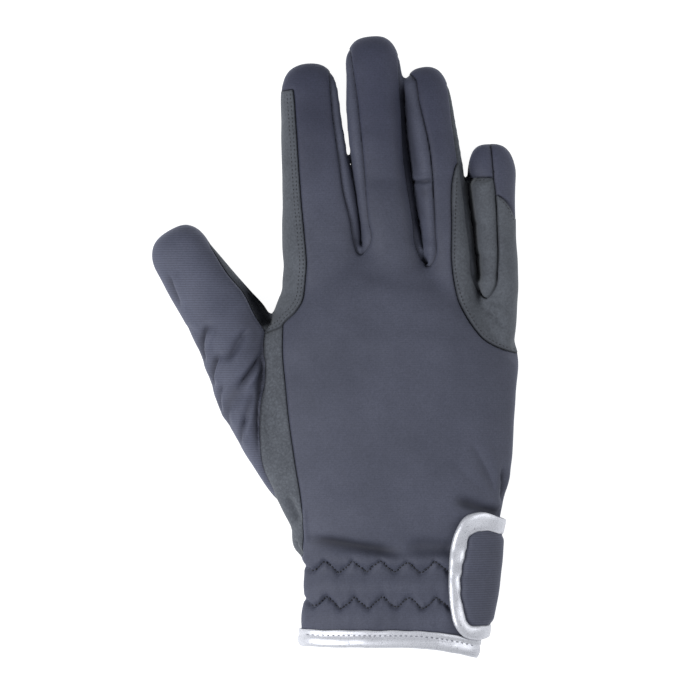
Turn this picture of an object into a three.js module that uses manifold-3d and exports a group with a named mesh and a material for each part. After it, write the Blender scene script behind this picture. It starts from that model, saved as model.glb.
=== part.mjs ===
// A right-hand riding glove, lying palm down. Fingers point along +Y and the thumb lies on the -X side.
// The origin is on the flat underside, at the middle of the palm. Lengths are in millimetres.
import * as THREE from "three";
import { mergeVertices } from "three/addons/utils/BufferGeometryUtils.js";
import Module from "manifold-3d";

const wasm = await Module();
wasm.setup();

// Hand sizes
const palmWidth = 89;
const palmLength = 118;
const palmHeight = 26;
const cuffLength = 31.5;
const fingerHeight = 17;
const indexLength = 74.6;
const middleLength = 82.4;
const ringLength = 81.6;
const littleLength = 67.2;
const thumbWidth = 27;
const thumbHeight = 20;
const thumbTipLength = 12;

// Leather, seams and trim
const wall = 1.5;
const seamGap = 0.3;
const sideSeamHeight = 7;
const bindingThickness = 1.2;
const bindingWidth = 5.7;
const tabThickness = 1.2;
const tabRim = 0.5;
const slitWidth = 3;

// Smoothness of the lofted forms
const palmSides = 22;
const digitSides = 12;
const tipSteps = 3;

// Values that follow from the sizes above
const padThickness = bindingThickness;
const fingerWidth = (finger) => finger.widthShare * palmWidth;
const tabStand = seamGap + padThickness + seamGap;
const cuffLift = tabStand + tabThickness + tabRim + seamGap;
const cutReach = palmHeight * 2;

// Shape of a cross-section: fullness 2 is an ellipse and more is squarer. The belly is its widest height.
const section = { topFullness: 2.2, baseFullness: 3, belly: 0.42, flatShare: 0.12 };

// The four fingers. across and along place the knuckle on the hand, lean is in degrees, and the widths
// are shares of the palm's, which they fill together. In the rows, along is a share of the finger's
// length, and the edges and top seams are shares of its width.
const fingers = {
  index: {
    across: -0.329, along: 0.971, lean: 4.7, length: indexLength, widthShare: 0.2438,
    rows: [
      { along: -0.24, left: 0.42, right: 0.45, height: 0.95, seamLeft: -0.43, seamRight: 0.59 },
      { along: -0.12, left: 0.70, right: 0.60, height: 1.0, seamLeft: -0.38, seamRight: 0.53 },
      { along: 0.078, left: 0.69, right: 0.70, height: 1.02, seamLeft: -0.302, seamRight: 0.581 },
      { along: 0.326, left: 0.635, right: 0.655, height: 0.98, seamLeft: -0.311, seamRight: 0.467 },
      { along: 0.47, left: 0.60, right: 0.60, height: 0.93, seamLeft: -0.30, seamRight: 0.43 },
      { along: 0.617, left: 0.57, right: 0.55, height: 0.98, seamLeft: -0.291, seamRight: 0.40 },
      { along: 0.824, left: 0.505, right: 0.50, height: 0.9, seamLeft: -0.285, seamRight: 0.388 },
    ],
  },
  middle: {
    across: -0.0385, along: 0.994, lean: 5.7, length: middleLength, widthShare: 0.2438,
    rows: [
      { along: -0.225, left: 0.40, right: 0.42, height: 0.95, seamLeft: -0.34, seamRight: 0.35 },
      { along: 0.055, left: 0.475, right: 0.58, height: 1.02, seamLeft: -0.375, seamRight: 0.46 },
      { along: 0.243, left: 0.515, right: 0.51, height: 1.0, seamLeft: -0.363, seamRight: 0.422 },
      { along: 0.36, left: 0.525, right: 0.495, height: 0.94, seamLeft: -0.35, seamRight: 0.415 },
      { along: 0.478, left: 0.53, right: 0.485, height: 1.0, seamLeft: -0.337, seamRight: 0.414 },
      { along: 0.711, left: 0.525, right: 0.505, height: 0.95, seamLeft: -0.346, seamRight: 0.44 },
      { along: 0.85, left: 0.463, right: 0.498, height: 0.9, seamLeft: -0.363, seamRight: 0.466 },
    ],
  },
  ring: {
    across: 0.2265, along: 0.906, lean: 8.1, length: ringLength, widthShare: 0.2258,
    rows: [
      { along: -0.2, left: 0.38, right: 0.36, height: 0.95, seamLeft: -0.31, seamRight: 0.29 },
      { along: 0.079, left: 0.42, right: 0.46, height: 1.02, seamLeft: -0.309, seamRight: 0.375 },
      { along: 0.184, left: 0.47, right: 0.465, height: 1.0, seamLeft: -0.251, seamRight: 0.375 },
      { along: 0.373, left: 0.50, right: 0.49, height: 0.94, seamLeft: -0.163, seamRight: 0.405 },
      { along: 0.608, left: 0.485, right: 0.49, height: 0.98, seamLeft: -0.104, seamRight: 0.42 },
      { along: 0.844, left: 0.43, right: 0.445, height: 0.88, seamLeft: -0.176, seamRight: 0.411 },
    ],
  },
  little: {
    across: 0.4274, along: 0.774, lean: 3.7, length: littleLength, widthShare: 0.2090,
    rows: [
      { along: -0.2, left: 0.30, right: 0.18, height: 0.9, seamLeft: -0.196, seamRight: 0.374 },
      { along: -0.08, left: 0.36, right: 0.30, height: 0.95, seamLeft: -0.16, seamRight: 0.41 },
      { along: 0.114, left: 0.36, right: 0.39, height: 0.98, seamLeft: -0.096, seamRight: 0.475 },
      { along: 0.342, left: 0.405, right: 0.435, height: 0.95, seamLeft: 0.039, seamRight: 0.527 },
      { along: 0.5, left: 0.44, right: 0.455, height: 0.9, seamLeft: 0.065, seamRight: 0.55 },
      { along: 0.663, left: 0.475, right: 0.48, height: 0.92, seamLeft: 0.076, seamRight: 0.581 },
      { along: 0.83, left: 0.46, right: 0.50, height: 0.85, seamLeft: 0.04, seamRight: 0.64 },
    ],
  },
};

// The thumb follows a bent line. across and along place each row on the hand, its reach to either side
// is a share of the thumb's width, and a height under its neighbours is a fold.
const thumbRows = [
  { across: -0.450, along: 0.160, left: 0.08, right: 0.09, height: 0.50 },
  { across: -0.530, along: 0.265, left: 0.18, right: 0.13, height: 0.72 },
  { across: -0.573, along: 0.355, left: 0.29, right: 0.15, height: 0.9 },
  { across: -0.615, along: 0.452, left: 0.38, right: 0.24, height: 1.0 },
  { across: -0.640, along: 0.505, left: 0.44, right: 0.33, height: 1.03 },
  { across: -0.660, along: 0.548, left: 0.45, right: 0.39, height: 0.95 },
  { across: -0.678, along: 0.590, left: 0.47, right: 0.45, height: 1.05 },
  { across: -0.701, along: 0.639, left: 0.44, right: 0.58, height: 1.02 },
  { across: -0.720, along: 0.680, left: 0.44, right: 0.68, height: 0.94 },
  { across: -0.752, along: 0.729, left: 0.455, right: 0.74, height: 1.0 },
  { across: -0.808, along: 0.819, left: 0.465, right: 0.62, height: 0.98 },
  { across: -0.859, along: 0.903, left: 0.514, right: 0.50, height: 0.98 },
  { across: -0.897, along: 0.981, left: 0.575, right: 0.35, height: 0.92 },
];

// Palm and cuff from the hem to the web of the fingers. along is a share of the palm's length, or of the
// cuff's where it is negative. left and right are shares of the palm's width from the hand's line.
const handRows = [
  { along: -1.0, left: 0.414, right: 0.333, height: 0.80, lift: 1.0 },
  { along: -0.82, left: 0.414, right: 0.352, height: 0.79, lift: 1.0 },
  { along: -0.64, left: 0.413, right: 0.362, height: 0.80, lift: 1.0 },
  { along: -0.47, left: 0.406, right: 0.372, height: 0.75, lift: 1.0 },
  { along: -0.30, left: 0.406, right: 0.386, height: 0.79, lift: 1.0 },
  { along: -0.08, left: 0.406, right: 0.396, height: 0.74, lift: 1.0 },
  { along: 0.013, left: 0.419, right: 0.402, height: 0.80, lift: 1.0 },
  { along: 0.045, left: 0.440, right: 0.404, height: 0.74, lift: 1.0 },
  { along: 0.085, left: 0.468, right: 0.408, height: 0.84, lift: 1.0 },
  { along: 0.168, left: 0.505, right: 0.434, height: 0.86, lift: 1.0 },
  { along: 0.235, left: 0.545, right: 0.452, height: 0.90, lift: 0.6 },
  { along: 0.323, left: 0.600, right: 0.474, height: 0.95, lift: 0.15 },
  { along: 0.42, left: 0.618, right: 0.482, height: 0.99, lift: 0.0 },
  { along: 0.52, left: 0.612, right: 0.491, height: 1.0, lift: 0.0 },
  { along: 0.645, left: 0.600, right: 0.50, height: 0.98, lift: 0.0 },
  { along: 0.735, left: 0.590, right: 0.50, height: 0.95, lift: 0.0 },
  { along: 0.82, left: 0.550, right: 0.50, height: 0.88, lift: 0.0 },
  { along: 0.90, left: 0.520, right: 0.50, height: 0.77, lift: 0.0 },
  { along: 0.96, left: 0.504, right: 0.50, height: 0.62, lift: 0.0 },
  { along: 1.0, left: 0.49, right: 0.49, height: 0.44, lift: 0.0 },
];

// The finger line curves back from its highest point, and the hem drops towards the closing tab.
const fingerLine = { depth: 0.742, peak: -0.128, start: 0.55 };
const hemDrop = 1.35;
const beyondHem = -1.4;

// Seam lines in plan, as [across, along] on the hand
const seams = {
  thumbRoot: [
    [-0.60, 1.03], [-0.58, 0.90], [-0.545, 0.79], [-0.573, 0.732], [-0.585, 0.613], [-0.598, 0.484],
    [-0.602, 0.403], [-0.581, 0.290], [-0.538, 0.226], [-0.513, 0.171],
  ],
  thumbSide: [
    [-0.872, 1.09], [-0.838, 1.032], [-0.748, 0.921], [-0.679, 0.848], [-0.632, 0.784],
    [-0.573, 0.745],
  ],
  gusset: [
    [-0.470, 0.80], [-0.498, 0.758], [-0.491, 0.613], [-0.470, 0.452], [-0.436, 0.323],
    [-0.410, 0.194], [-0.405, 0.05], [-0.375, -0.15], [-0.385, -0.60], [-0.390, -1.2],
  ],
  patchEnd: [[-0.412, 0.871], [-0.436, 0.823], [-0.496, 0.768], [-0.537, 0.752]],
  rein: [
    [0.30, 1.285], [0.250, 1.277], [0.231, 1.232], [0.222, 1.077], [0.225, 0.924], [0.248, 0.847],
    [0.291, 0.781], [0.359, 0.713], [0.427, 0.684], [0.513, 0.668], [0.60, 0.660],
  ],
  littleTip: [[0.412, 1.174], [0.440, 1.161], [0.473, 1.132], [0.494, 1.100], [0.560, 1.060]],
};

// The strips between the fingers. The crotch is on the hand, and each seam starts at a share of its
// finger's length. On the longer finger, the strip's outline rounds the shorter one's tip at a share of
// the finger's length and of its width.
const stripRows = [
  {
    left: "index", right: "middle", crotch: [-0.156, 0.935], leftStart: -0.02, rightStart: -0.03,
    longer: "middle", along: 0.93, side: -0.75,
  },
  {
    left: "middle", right: "ring", crotch: [0.124, 0.895], leftStart: -0.10, rightStart: 0.03,
    longer: "middle", along: 0.96, side: 0.75,
  },
  {
    left: "ring", right: "little", crotch: [0.362, 0.765], leftStart: -0.13, rightStart: 0.03,
    longer: "ring", along: 0.80, side: 0.80,
  },
];
const stripTip = { along: 1.03, side: 0.40 };
const indexPatchTop = 0.905;
const littleSideEnd = 1.232;

// The closing tab in plan: the outer edge of its rim and the inner edge, both from the top right
const tabOutline = [
  [0.60, 0.110], [0.449, 0.122], [0.342, 0.148], [0.278, 0.139], [0.235, 0.097], [0.214, 0.048],
  [0.205, -0.118], [0.205, -0.353], [0.214, -0.588], [0.235, -0.788], [0.269, -0.894],
  [0.321, -0.941], [0.376, -0.918], [0.60, -0.835],
];
const tabInner = [
  [0.60, 0.066], [0.444, 0.084], [0.333, 0.100], [0.286, 0.065], [0.261, -0.059], [0.252, -0.235],
  [0.256, -0.412], [0.269, -0.612], [0.286, -0.706], [0.321, -0.765], [0.397, -0.765],
  [0.60, -0.720],
];
const tabRoot = 0.215;
const slit = { across: 0.332, top: -0.25, corner: -0.90 };
const pad = { left: 0.275, right: 0.332, top: -0.05, bottom: -0.60 };

// Finishes
const softshell = { color: 0x4e5160, roughness: 0.85, metalness: 0 };
const suede = { color: 0x5b5f68, roughness: 0.95, metalness: 0 };
const silver = { color: 0xc4c7ce, roughness: 0.35, metalness: 0.7 };
const plainPad = { color: 0x34363c, roughness: 0.9, metalness: 0 };

// Placing points on the hand
const handX = (across) => across * palmWidth;
const handY = (along) => (along < 0 ? along * cuffLength : along * palmLength) - palmLength / 2;
const onHand = ([across, along]) => [handX(across), handY(along)];

function between(rows, along) {
  const last = rows.length - 1;
  if (along <= rows[0].along) return { ...rows[0], along };
  if (along >= rows[last].along) return { ...rows[last], along };
  const next = rows.findIndex((row) => row.along > along);
  const low = rows[next - 1];
  const high = rows[next];
  const share = (along - low.along) / (high.along - low.along);
  const keys = Object.keys(low).map((key) => [key, low[key] + (high[key] - low[key]) * share]);
  return Object.fromEntries(keys);
}

// Closed outline of one cross-section, as [sideways, up] points, going round from the right-hand side
function sectionOutline(left, right, floor, top, sides) {
  const belly = floor + (top - floor) * section.belly;
  const sag = (top - floor) * section.flatShare;
  return Array.from({ length: sides }, (_, step) => {
    const turn = (step / sides) * 2 * Math.PI;
    const cos = Math.cos(turn);
    const sin = Math.sin(turn);
    const power = 2 / (sin >= 0 ? section.topFullness : section.baseFullness);
    const sideways = Math.sign(cos) * Math.abs(cos) ** power * (cos > 0 ? right : left);
    const rise = Math.abs(sin) ** power;
    const up = sin >= 0 ? belly + (top - belly) * rise : belly - (belly - floor + sag) * rise;
    return [sideways, Math.max(floor, up)];
  });
}

// Skins a row of rings, and closes each end with rungs across the ring, so that a bent end stays bent
function closedGeometry(rings) {
  const sides = rings[0].length;
  const faces = [];
  for (let ring = 0; ring < rings.length - 1; ring++) {
    for (let side = 0; side < sides; side++) {
      const a = ring * sides + side;
      const b = ring * sides + ((side + 1) % sides);
      faces.push(a, a + sides, b, b, a + sides, b + sides);
    }
  }
  const lastRing = (rings.length - 1) * sides;
  for (let side = 0; side < sides / 2; side++) {
    const rung = [side, side + 1, (sides - side - 1) % sides, (sides - side) % sides];
    const triangles = [[0, 1, 2], [0, 2, 3]].map((corners) => corners.map((corner) => rung[corner]));
    triangles.filter((triangle) => new Set(triangle).size === 3).forEach(([a, b, c]) => {
      faces.push(a, b, c, lastRing + c, lastRing + b, lastRing + a);
    });
  }
  const geometry = new THREE.BufferGeometry();
  geometry.setAttribute("position", new THREE.Float32BufferAttribute(rings.flat(2), 3));
  geometry.setIndex(faces);
  return geometry;
}

function toSolid(geometry) {
  const plain = geometry.clone();
  plain.deleteAttribute("normal");
  plain.deleteAttribute("uv");
  const merged = mergeVertices(plain);
  return new wasm.Manifold(new wasm.Mesh({
    numProp: 3,
    vertProperties: new Float32Array(merged.attributes.position.array),
    triVerts: new Uint32Array(merged.index.array),
  }));
}

const join = (solids) => solids.reduce((sum, solid) => sum.add(solid));

// A loft through stations, each with its middle, heading, reach to either side, floor and top
function loft(stations, sides, warp = (point) => point) {
  const rings = stations.map((station) => {
    const { x, y, heading, left, right, floor, top } = station;
    return sectionOutline(left, right, floor, top, sides).map(([sideways, up]) => warp([
      x + sideways * Math.cos(heading),
      y + sideways * Math.sin(heading),
      up,
    ], station));
  });
  return toSolid(closedGeometry(rings));
}

// Rounds off a digit past its last station, each step smaller than the one before
function roundTip(stations, reach) {
  const end = stations[stations.length - 1];
  const belly = end.floor + (end.top - end.floor) * section.belly;
  const steps = Array.from({ length: tipSteps }, (_, step) => {
    const angle = ((step + 1) / (tipSteps + 0.6)) * (Math.PI / 2);
    const size = Math.cos(angle) ** 0.75;
    const travel = Math.sin(angle) * reach;
    return {
      ...end,
      x: end.x - Math.sin(end.heading) * travel,
      y: end.y + Math.cos(end.heading) * travel,
      left: end.left * size,
      right: end.right * size,
      floor: belly + (end.floor - belly) * size ** 0.7,
      top: belly + (end.top - belly) * size,
    };
  });
  return [...stations, ...steps];
}

// A point beside a finger's line: along is a share of its length, side a share of its width.
function onFinger(finger, along, side) {
  const heading = THREE.MathUtils.degToRad(finger.lean);
  const forward = along * finger.length;
  const sideways = side * fingerWidth(finger);
  return [
    handX(finger.across) + forward * Math.sin(heading) * -1 + sideways * Math.cos(heading),
    handY(finger.along) + forward * Math.cos(heading) + sideways * Math.sin(heading),
  ];
}

function fingerForm(finger, inset) {
  const stations = finger.rows.map((row) => {
    const [x, y] = onFinger(finger, row.along, 0);
    return {
      x,
      y,
      heading: THREE.MathUtils.degToRad(finger.lean),
      left: row.left * fingerWidth(finger) - inset,
      right: row.right * fingerWidth(finger) - inset,
      floor: inset,
      top: row.height * fingerHeight - inset,
    };
  });
  const tipReach = (1 - finger.rows[finger.rows.length - 1].along) * finger.length;
  return loft(roundTip(stations, tipReach - inset), digitSides);
}

function thumbForm(inset) {
  const places = thumbRows.map((row) => onHand([row.across, row.along]));
  const stations = thumbRows.map((row, step) => {
    const before = places[Math.max(step - 1, 0)];
    const after = places[Math.min(step + 1, places.length - 1)];
    return {
      x: places[step][0],
      y: places[step][1],
      heading: Math.atan2(before[0] - after[0], after[1] - before[1]),
      left: Math.max(row.left * thumbWidth - inset, inset / 2),
      right: Math.max(row.right * thumbWidth - inset, inset / 2),
      floor: inset,
      top: row.height * thumbHeight - inset,
    };
  });
  return loft(roundTip(stations, thumbTipLength - inset), digitSides + 2);
}

// Bends the finger end of the palm to the line of the knuckles, and lets the hem drop on one side
function bendHand([x, y, z], { along }) {
  const across = x / palmWidth;
  const blend = THREE.MathUtils.smoothstep(along, fingerLine.start, 1);
  const curve = fingerLine.depth * (across - fingerLine.peak) ** 2 * palmLength * blend;
  const drop = hemDrop * Math.max(0, across) ** 2 * cuffLength * Math.min(1, Math.max(0, -along));
  return [x, y - curve - drop, z];
}

// The palm and cuff, from one share along the hand to another. A negative inset gives a larger form.
function handForm(inset, from = -1, to = 1) {
  const inside = handRows.map((row) => row.along).filter((along) => along > from && along < to);
  const stations = [from, ...inside, to].map((along) => {
    const row = between(handRows, along);
    const floor = row.lift * cuffLift;
    const endCut = along === 1 ? Math.max(inset, 0) : 0;
    return {
      along,
      x: 0,
      y: handY(along) - endCut,
      heading: 0,
      left: handX(row.left) - inset,
      right: handX(row.right) - inset,
      floor: floor + inset,
      top: floor + row.height * palmHeight - inset,
    };
  });
  return loft(stations, palmSides, bendHand);
}

function prism(outline, low = -cutReach, high = cutReach) {
  const shape = new THREE.Shape(outline.map(([x, y]) => new THREE.Vector2(x, y)));
  const geometry = new THREE.ExtrudeGeometry(shape, { depth: high - low, bevelEnabled: false });
  geometry.translate(0, 0, low);
  return toSolid(geometry);
}

// The same outline, grown on all sides
function grow(outline, distance) {
  const turn = THREE.ShapeUtils.area(outline.map(([x, y]) => new THREE.Vector2(x, y))) > 0 ? 1 : -1;
  const edgeNormal = (a, b) => new THREE.Vector2(b[1] - a[1], a[0] - b[0]).normalize();
  return outline.map((point, step) => {
    const before = outline[(step + outline.length - 1) % outline.length];
    const after = outline[(step + 1) % outline.length];
    const first = edgeNormal(before, point);
    const second = edgeNormal(point, after);
    const middle = first.clone().add(second).normalize();
    const reach = (turn * distance) / Math.max(0.4, middle.dot(first));
    return [point[0] + middle.x * reach, point[1] + middle.y * reach];
  });
}

// Cuts a panel out of what is left of the shell, and leaves the seam's gap around it
function cutPanel(shell, outline, low, high) {
  const gapLow = low === undefined ? undefined : low - seamGap;
  return {
    panel: shell.intersect(prism(outline, low, high)),
    rest: shell.subtract(prism(grow(outline, seamGap), gapLow, high)),
  };
}

const seamShares = [0.14, 0.3, 0.48, 0.64, 0.8, 0.93];
const fingerSeam = (finger, edge, start) => [start, ...seamShares].map((along) => (
  onFinger(finger, along, between(finger.rows, along)[edge])
));

// The strip between two fingers in plan, from the crotch up one seam, over the gap and down the other
function stripOutline({ left, right, crotch, leftStart, rightStart, longer, along, side }) {
  return [
    onHand(crotch),
    ...fingerSeam(fingers[left], "seamRight", leftStart),
    onFinger(fingers[left], stripTip.along, stripTip.side),
    onFinger(fingers[longer], along, side),
    onFinger(fingers[right], stripTip.along, -stripTip.side),
    ...fingerSeam(fingers[right], "seamLeft", rightStart).reverse(),
  ];
}

// The leather and cloth shell of the whole hand
const digitForms = (inset) => Object.values(fingers).map((finger) => fingerForm(finger, inset));
const outerForm = join([handForm(0), thumbForm(0), ...digitForms(0)]);
const hollow = join([handForm(wall, beyondHem), thumbForm(wall), ...digitForms(wall)]);
const slitEdge = handX(slit.across);
const slitOutline = [
  [slitEdge, handY(-2)],
  [slitEdge + palmWidth, handY(-2)],
  [slitEdge + palmWidth, handY(slit.corner)],
  [slitEdge + slitWidth, handY(slit.corner)],
  [slitEdge + slitWidth, handY(slit.top)],
  [slitEdge, handY(slit.top)],
];
const slitCut = prism(slitOutline, sideSeamHeight);
const cornerCut = prism([...slitOutline.slice(0, 3), [slitEdge, handY(slit.corner)]]);
const shell = outerForm.subtract(hollow).subtract(slitCut).subtract(cornerCut);

// Thumb
const thumbRegion = [
  ...seams.thumbRoot.map(onHand),
  onHand([-0.60, 0.08]),
  onHand([-1.3, 0.3]),
  onHand([-1.3, 1.2]),
  onHand([-0.8, 1.2]),
];
const { panel: thumbShell, rest: handShell } = cutPanel(shell, thumbRegion);
const thumbBackOutline = [
  ...seams.thumbSide.map(onHand),
  onHand([-0.45, 0.70]),
  onHand([-0.45, 0.05]),
  onHand([-1.4, 0.05]),
  onHand([-1.4, 1.2]),
  onHand([-0.9, 1.2]),
];
const { panel: thumbBack, rest: thumbFront } = cutPanel(thumbShell, thumbBackOutline, sideSeamHeight);

// Strips between the fingers
const strips = stripRows.map(stripOutline);
const { panel: stripIndexMiddle, rest: withoutFirst } = cutPanel(handShell, strips[0]);
const { panel: stripMiddleRing, rest: withoutSecond } = cutPanel(withoutFirst, strips[1]);
const { panel: stripRingLittle, rest: covers } = cutPanel(withoutSecond, strips[2]);
const littleSideOutline = [
  onHand([0.283, littleSideEnd]), onHand([0.50, littleSideEnd]), onHand([0.50, 1.6]), onHand([0.275, 1.6]),
];
const { panel: littleSide, rest: stripSuede } = cutPanel(stripRingLittle, littleSideOutline);

// Upper panels, from the small patches to what is left
const patchOutline = [
  onFinger(fingers.index, indexPatchTop, -1),
  onFinger(fingers.index, indexPatchTop, -0.285),
  ...[0.824, 0.617, 0.326, 0.078, -0.12].map((along) => (
    onFinger(fingers.index, along, between(fingers.index.rows, along).seamLeft)
  )),
  ...seams.patchEnd.map(onHand),
  onHand([-0.56, 0.86]),
];
const littleOutline = [
  onHand([0.36, 1.55]),
  onFinger(fingers.little, stripTip.along, -stripTip.side),
  ...[0.93, 0.8, 0.72].map((along) => (
    onFinger(fingers.little, along, between(fingers.little.rows, along).seamLeft)
  )),
  ...seams.littleTip.map(onHand),
  onHand([0.70, 1.1]),
  onHand([0.70, 1.5]),
];
const reinOutline = [...seams.rein.map(onHand), onHand([0.60, 1.15]), onHand([0.38, 1.285])];
const { panel: indexPatch, rest: withoutPatch } = cutPanel(covers, patchOutline, sideSeamHeight);
const { panel: littleBack, rest: withoutLittle } = cutPanel(withoutPatch, littleOutline, sideSeamHeight);
const { panel: reinPatch, rest: mainCovers } = cutPanel(withoutLittle, reinOutline, sideSeamHeight);

// The back, and the palm with its gusset that comes up on the thumb side
const backOutline = [
  ...seams.gusset.map(onHand),
  onHand([0.9, -1.2]),
  onHand([0.9, 1.8]),
  onHand([-0.7, 1.8]),
  onHand([-0.7, 0.9]),
];
const cuffOutline = [[-0.9, 0.2], [-0.9, -1.4], [1.1, -1.4], [1.1, 0.2]].map(onHand);
const backCutter = (gap) => prism(grow(backOutline, gap), sideSeamHeight - gap)
  .subtract(prism(grow(cuffOutline, -gap), -cutReach, sideSeamHeight + cuffLift - gap));
const backPanel = mainCovers.intersect(backCutter(0));
const palmPanel = mainCovers.subtract(backCutter(seamGap));

// Silver binding folded over the hem
const lipReach = (bindingThickness + seamGap) / cuffLength;
const bandTop = bindingWidth / cuffLength - 1;
const hemBinding = handForm(-bindingThickness - seamGap, -1 - lipReach, bandTop)
  .subtract(handForm(-seamGap, -1 - seamGap / cuffLength, 0))
  .subtract(handForm(wall, beyondHem, 0))
  .subtract(slitCut)
  .subtract(cornerCut);

// Closing tab: a layer that follows the cuff, stitched down under the palm and padded off above it
const tabSpan = [-0.98, 0.2];
const layer = (inside, outside) => handForm(-outside, ...tabSpan).subtract(handForm(-inside, beyondHem, 0.4));
const tabTop = tabStand + tabThickness;
const overHand = prism([
  [tabRoot, beyondHem], [0.9, beyondHem], [0.9, 0.5], [tabRoot, 0.5],
].map(onHand));
const upperHalf = prism([[-1, -2], [1, -2], [1, 1], [-1, 1]].map(onHand), sideSeamHeight);
const tabLayer = layer(tabStand, tabTop).intersect(overHand);
const tabFoot = layer(seamGap, tabTop).intersect(overHand).subtract(upperHalf);
const rimLayer = layer(tabStand, tabTop + tabRim);
const innerCut = prism(tabInner.map(onHand));
const tabPanel = tabLayer.add(tabFoot).intersect(innerCut);
const tabRing = rimLayer
  .intersect(prism(tabOutline.map(onHand)))
  .subtract(prism(grow(tabInner.map(onHand), seamGap)));
const padOutline = [
  [pad.left, pad.bottom], [pad.right, pad.bottom], [pad.right, pad.top], [pad.left, pad.top],
].map(onHand);
const tabPad = layer(seamGap, seamGap + padThickness).intersect(prism(padOutline, sideSeamHeight));

// The named pieces
function pieceMesh(name, solid, finish) {
  const { vertProperties, triVerts } = solid.getMesh();
  const geometry = new THREE.BufferGeometry();
  geometry.setAttribute("position", new THREE.BufferAttribute(vertProperties, 3));
  geometry.setIndex(new THREE.BufferAttribute(triVerts, 1));
  geometry.computeVertexNormals();
  const mesh = new THREE.Mesh(geometry, new THREE.MeshStandardMaterial(finish));
  mesh.name = name;
  return mesh;
}

const group = new THREE.Group();
group.add(
  pieceMesh("back_panel", backPanel, softshell),
  pieceMesh("palm_panel", palmPanel, suede),
  pieceMesh("index_patch", indexPatch, suede),
  pieceMesh("thumb_back", thumbBack, softshell),
  pieceMesh("thumb_front", thumbFront, suede),
  pieceMesh("fourchette_index_middle", stripIndexMiddle, softshell),
  pieceMesh("fourchette_middle_ring", stripMiddleRing, softshell),
  pieceMesh("fourchette_ring_little", stripSuede, suede),
  pieceMesh("little_side", littleSide, softshell),
  pieceMesh("little_back", littleBack, softshell),
  pieceMesh("rein_patch", reinPatch, suede),
  pieceMesh("cuff_binding", hemBinding, silver),
  pieceMesh("tab_panel", tabPanel, softshell),
  pieceMesh("tab_binding", tabRing, silver),
  pieceMesh("tab_fastener", tabPad, plainPad),
);

export default group;
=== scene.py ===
# A right-hand riding glove lying palm down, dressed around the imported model.
# The glove is worked out in millimetres on the hand and written in metres.
import math
import bpy
import numpy as np
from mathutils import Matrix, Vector
from mathutils.bvhtree import BVHTree
from mathutils.kdtree import KDTree


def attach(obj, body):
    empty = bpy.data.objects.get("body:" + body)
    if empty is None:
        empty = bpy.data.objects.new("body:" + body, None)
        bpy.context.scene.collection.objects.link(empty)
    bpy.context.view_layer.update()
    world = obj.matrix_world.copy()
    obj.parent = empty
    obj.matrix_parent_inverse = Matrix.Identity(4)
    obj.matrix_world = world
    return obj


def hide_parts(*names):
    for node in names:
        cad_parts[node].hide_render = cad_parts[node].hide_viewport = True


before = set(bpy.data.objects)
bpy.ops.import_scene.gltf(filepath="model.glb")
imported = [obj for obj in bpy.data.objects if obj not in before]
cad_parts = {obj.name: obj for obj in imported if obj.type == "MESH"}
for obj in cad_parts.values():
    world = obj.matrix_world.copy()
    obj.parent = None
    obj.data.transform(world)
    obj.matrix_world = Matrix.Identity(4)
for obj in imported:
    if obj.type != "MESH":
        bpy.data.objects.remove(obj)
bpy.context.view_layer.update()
mm = 0.001
print("stage: frame loaded,", len(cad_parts), "nodes")

# Camera straight above the glove, as in the photograph
view = {"overX": -19.0, "overY": 20.9, "wide": 266.3, "away": 1500.0, "subjectHeight": 8.0, "sensor": 36.0}


def makeCamera():
    lens = bpy.data.cameras.new("camera")
    lens.sensor_width = view["sensor"]
    lens.lens = view["sensor"] * view["away"] / view["wide"]
    lens.clip_end = 20
    camera = bpy.data.objects.new("camera", lens)
    camera.location = (view["overX"] * mm, view["overY"] * mm, (view["away"] + view["subjectHeight"]) * mm)
    bpy.context.collection.objects.link(camera)
    bpy.context.scene.camera = camera


makeCamera()

# Hand sizes
hand = {
    "palmWidth": 89.0, "palmLength": 118.0, "palmHeight": 26.0, "cuffLength": 31.5,
    "fingerHeight": 17.0, "thumbWidth": 27.0, "thumbHeight": 20.0, "thumbTipLength": 11.6,
    "sideSeam": 7.0, "cuffLift": 3.8,
}
section = {"topFullness": 2.2, "baseFullness": 3.0, "belly": 0.42, "flatShare": 0.12}
rowKeys = ("along", "left", "right", "height", "seamLeft", "seamRight")

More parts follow.
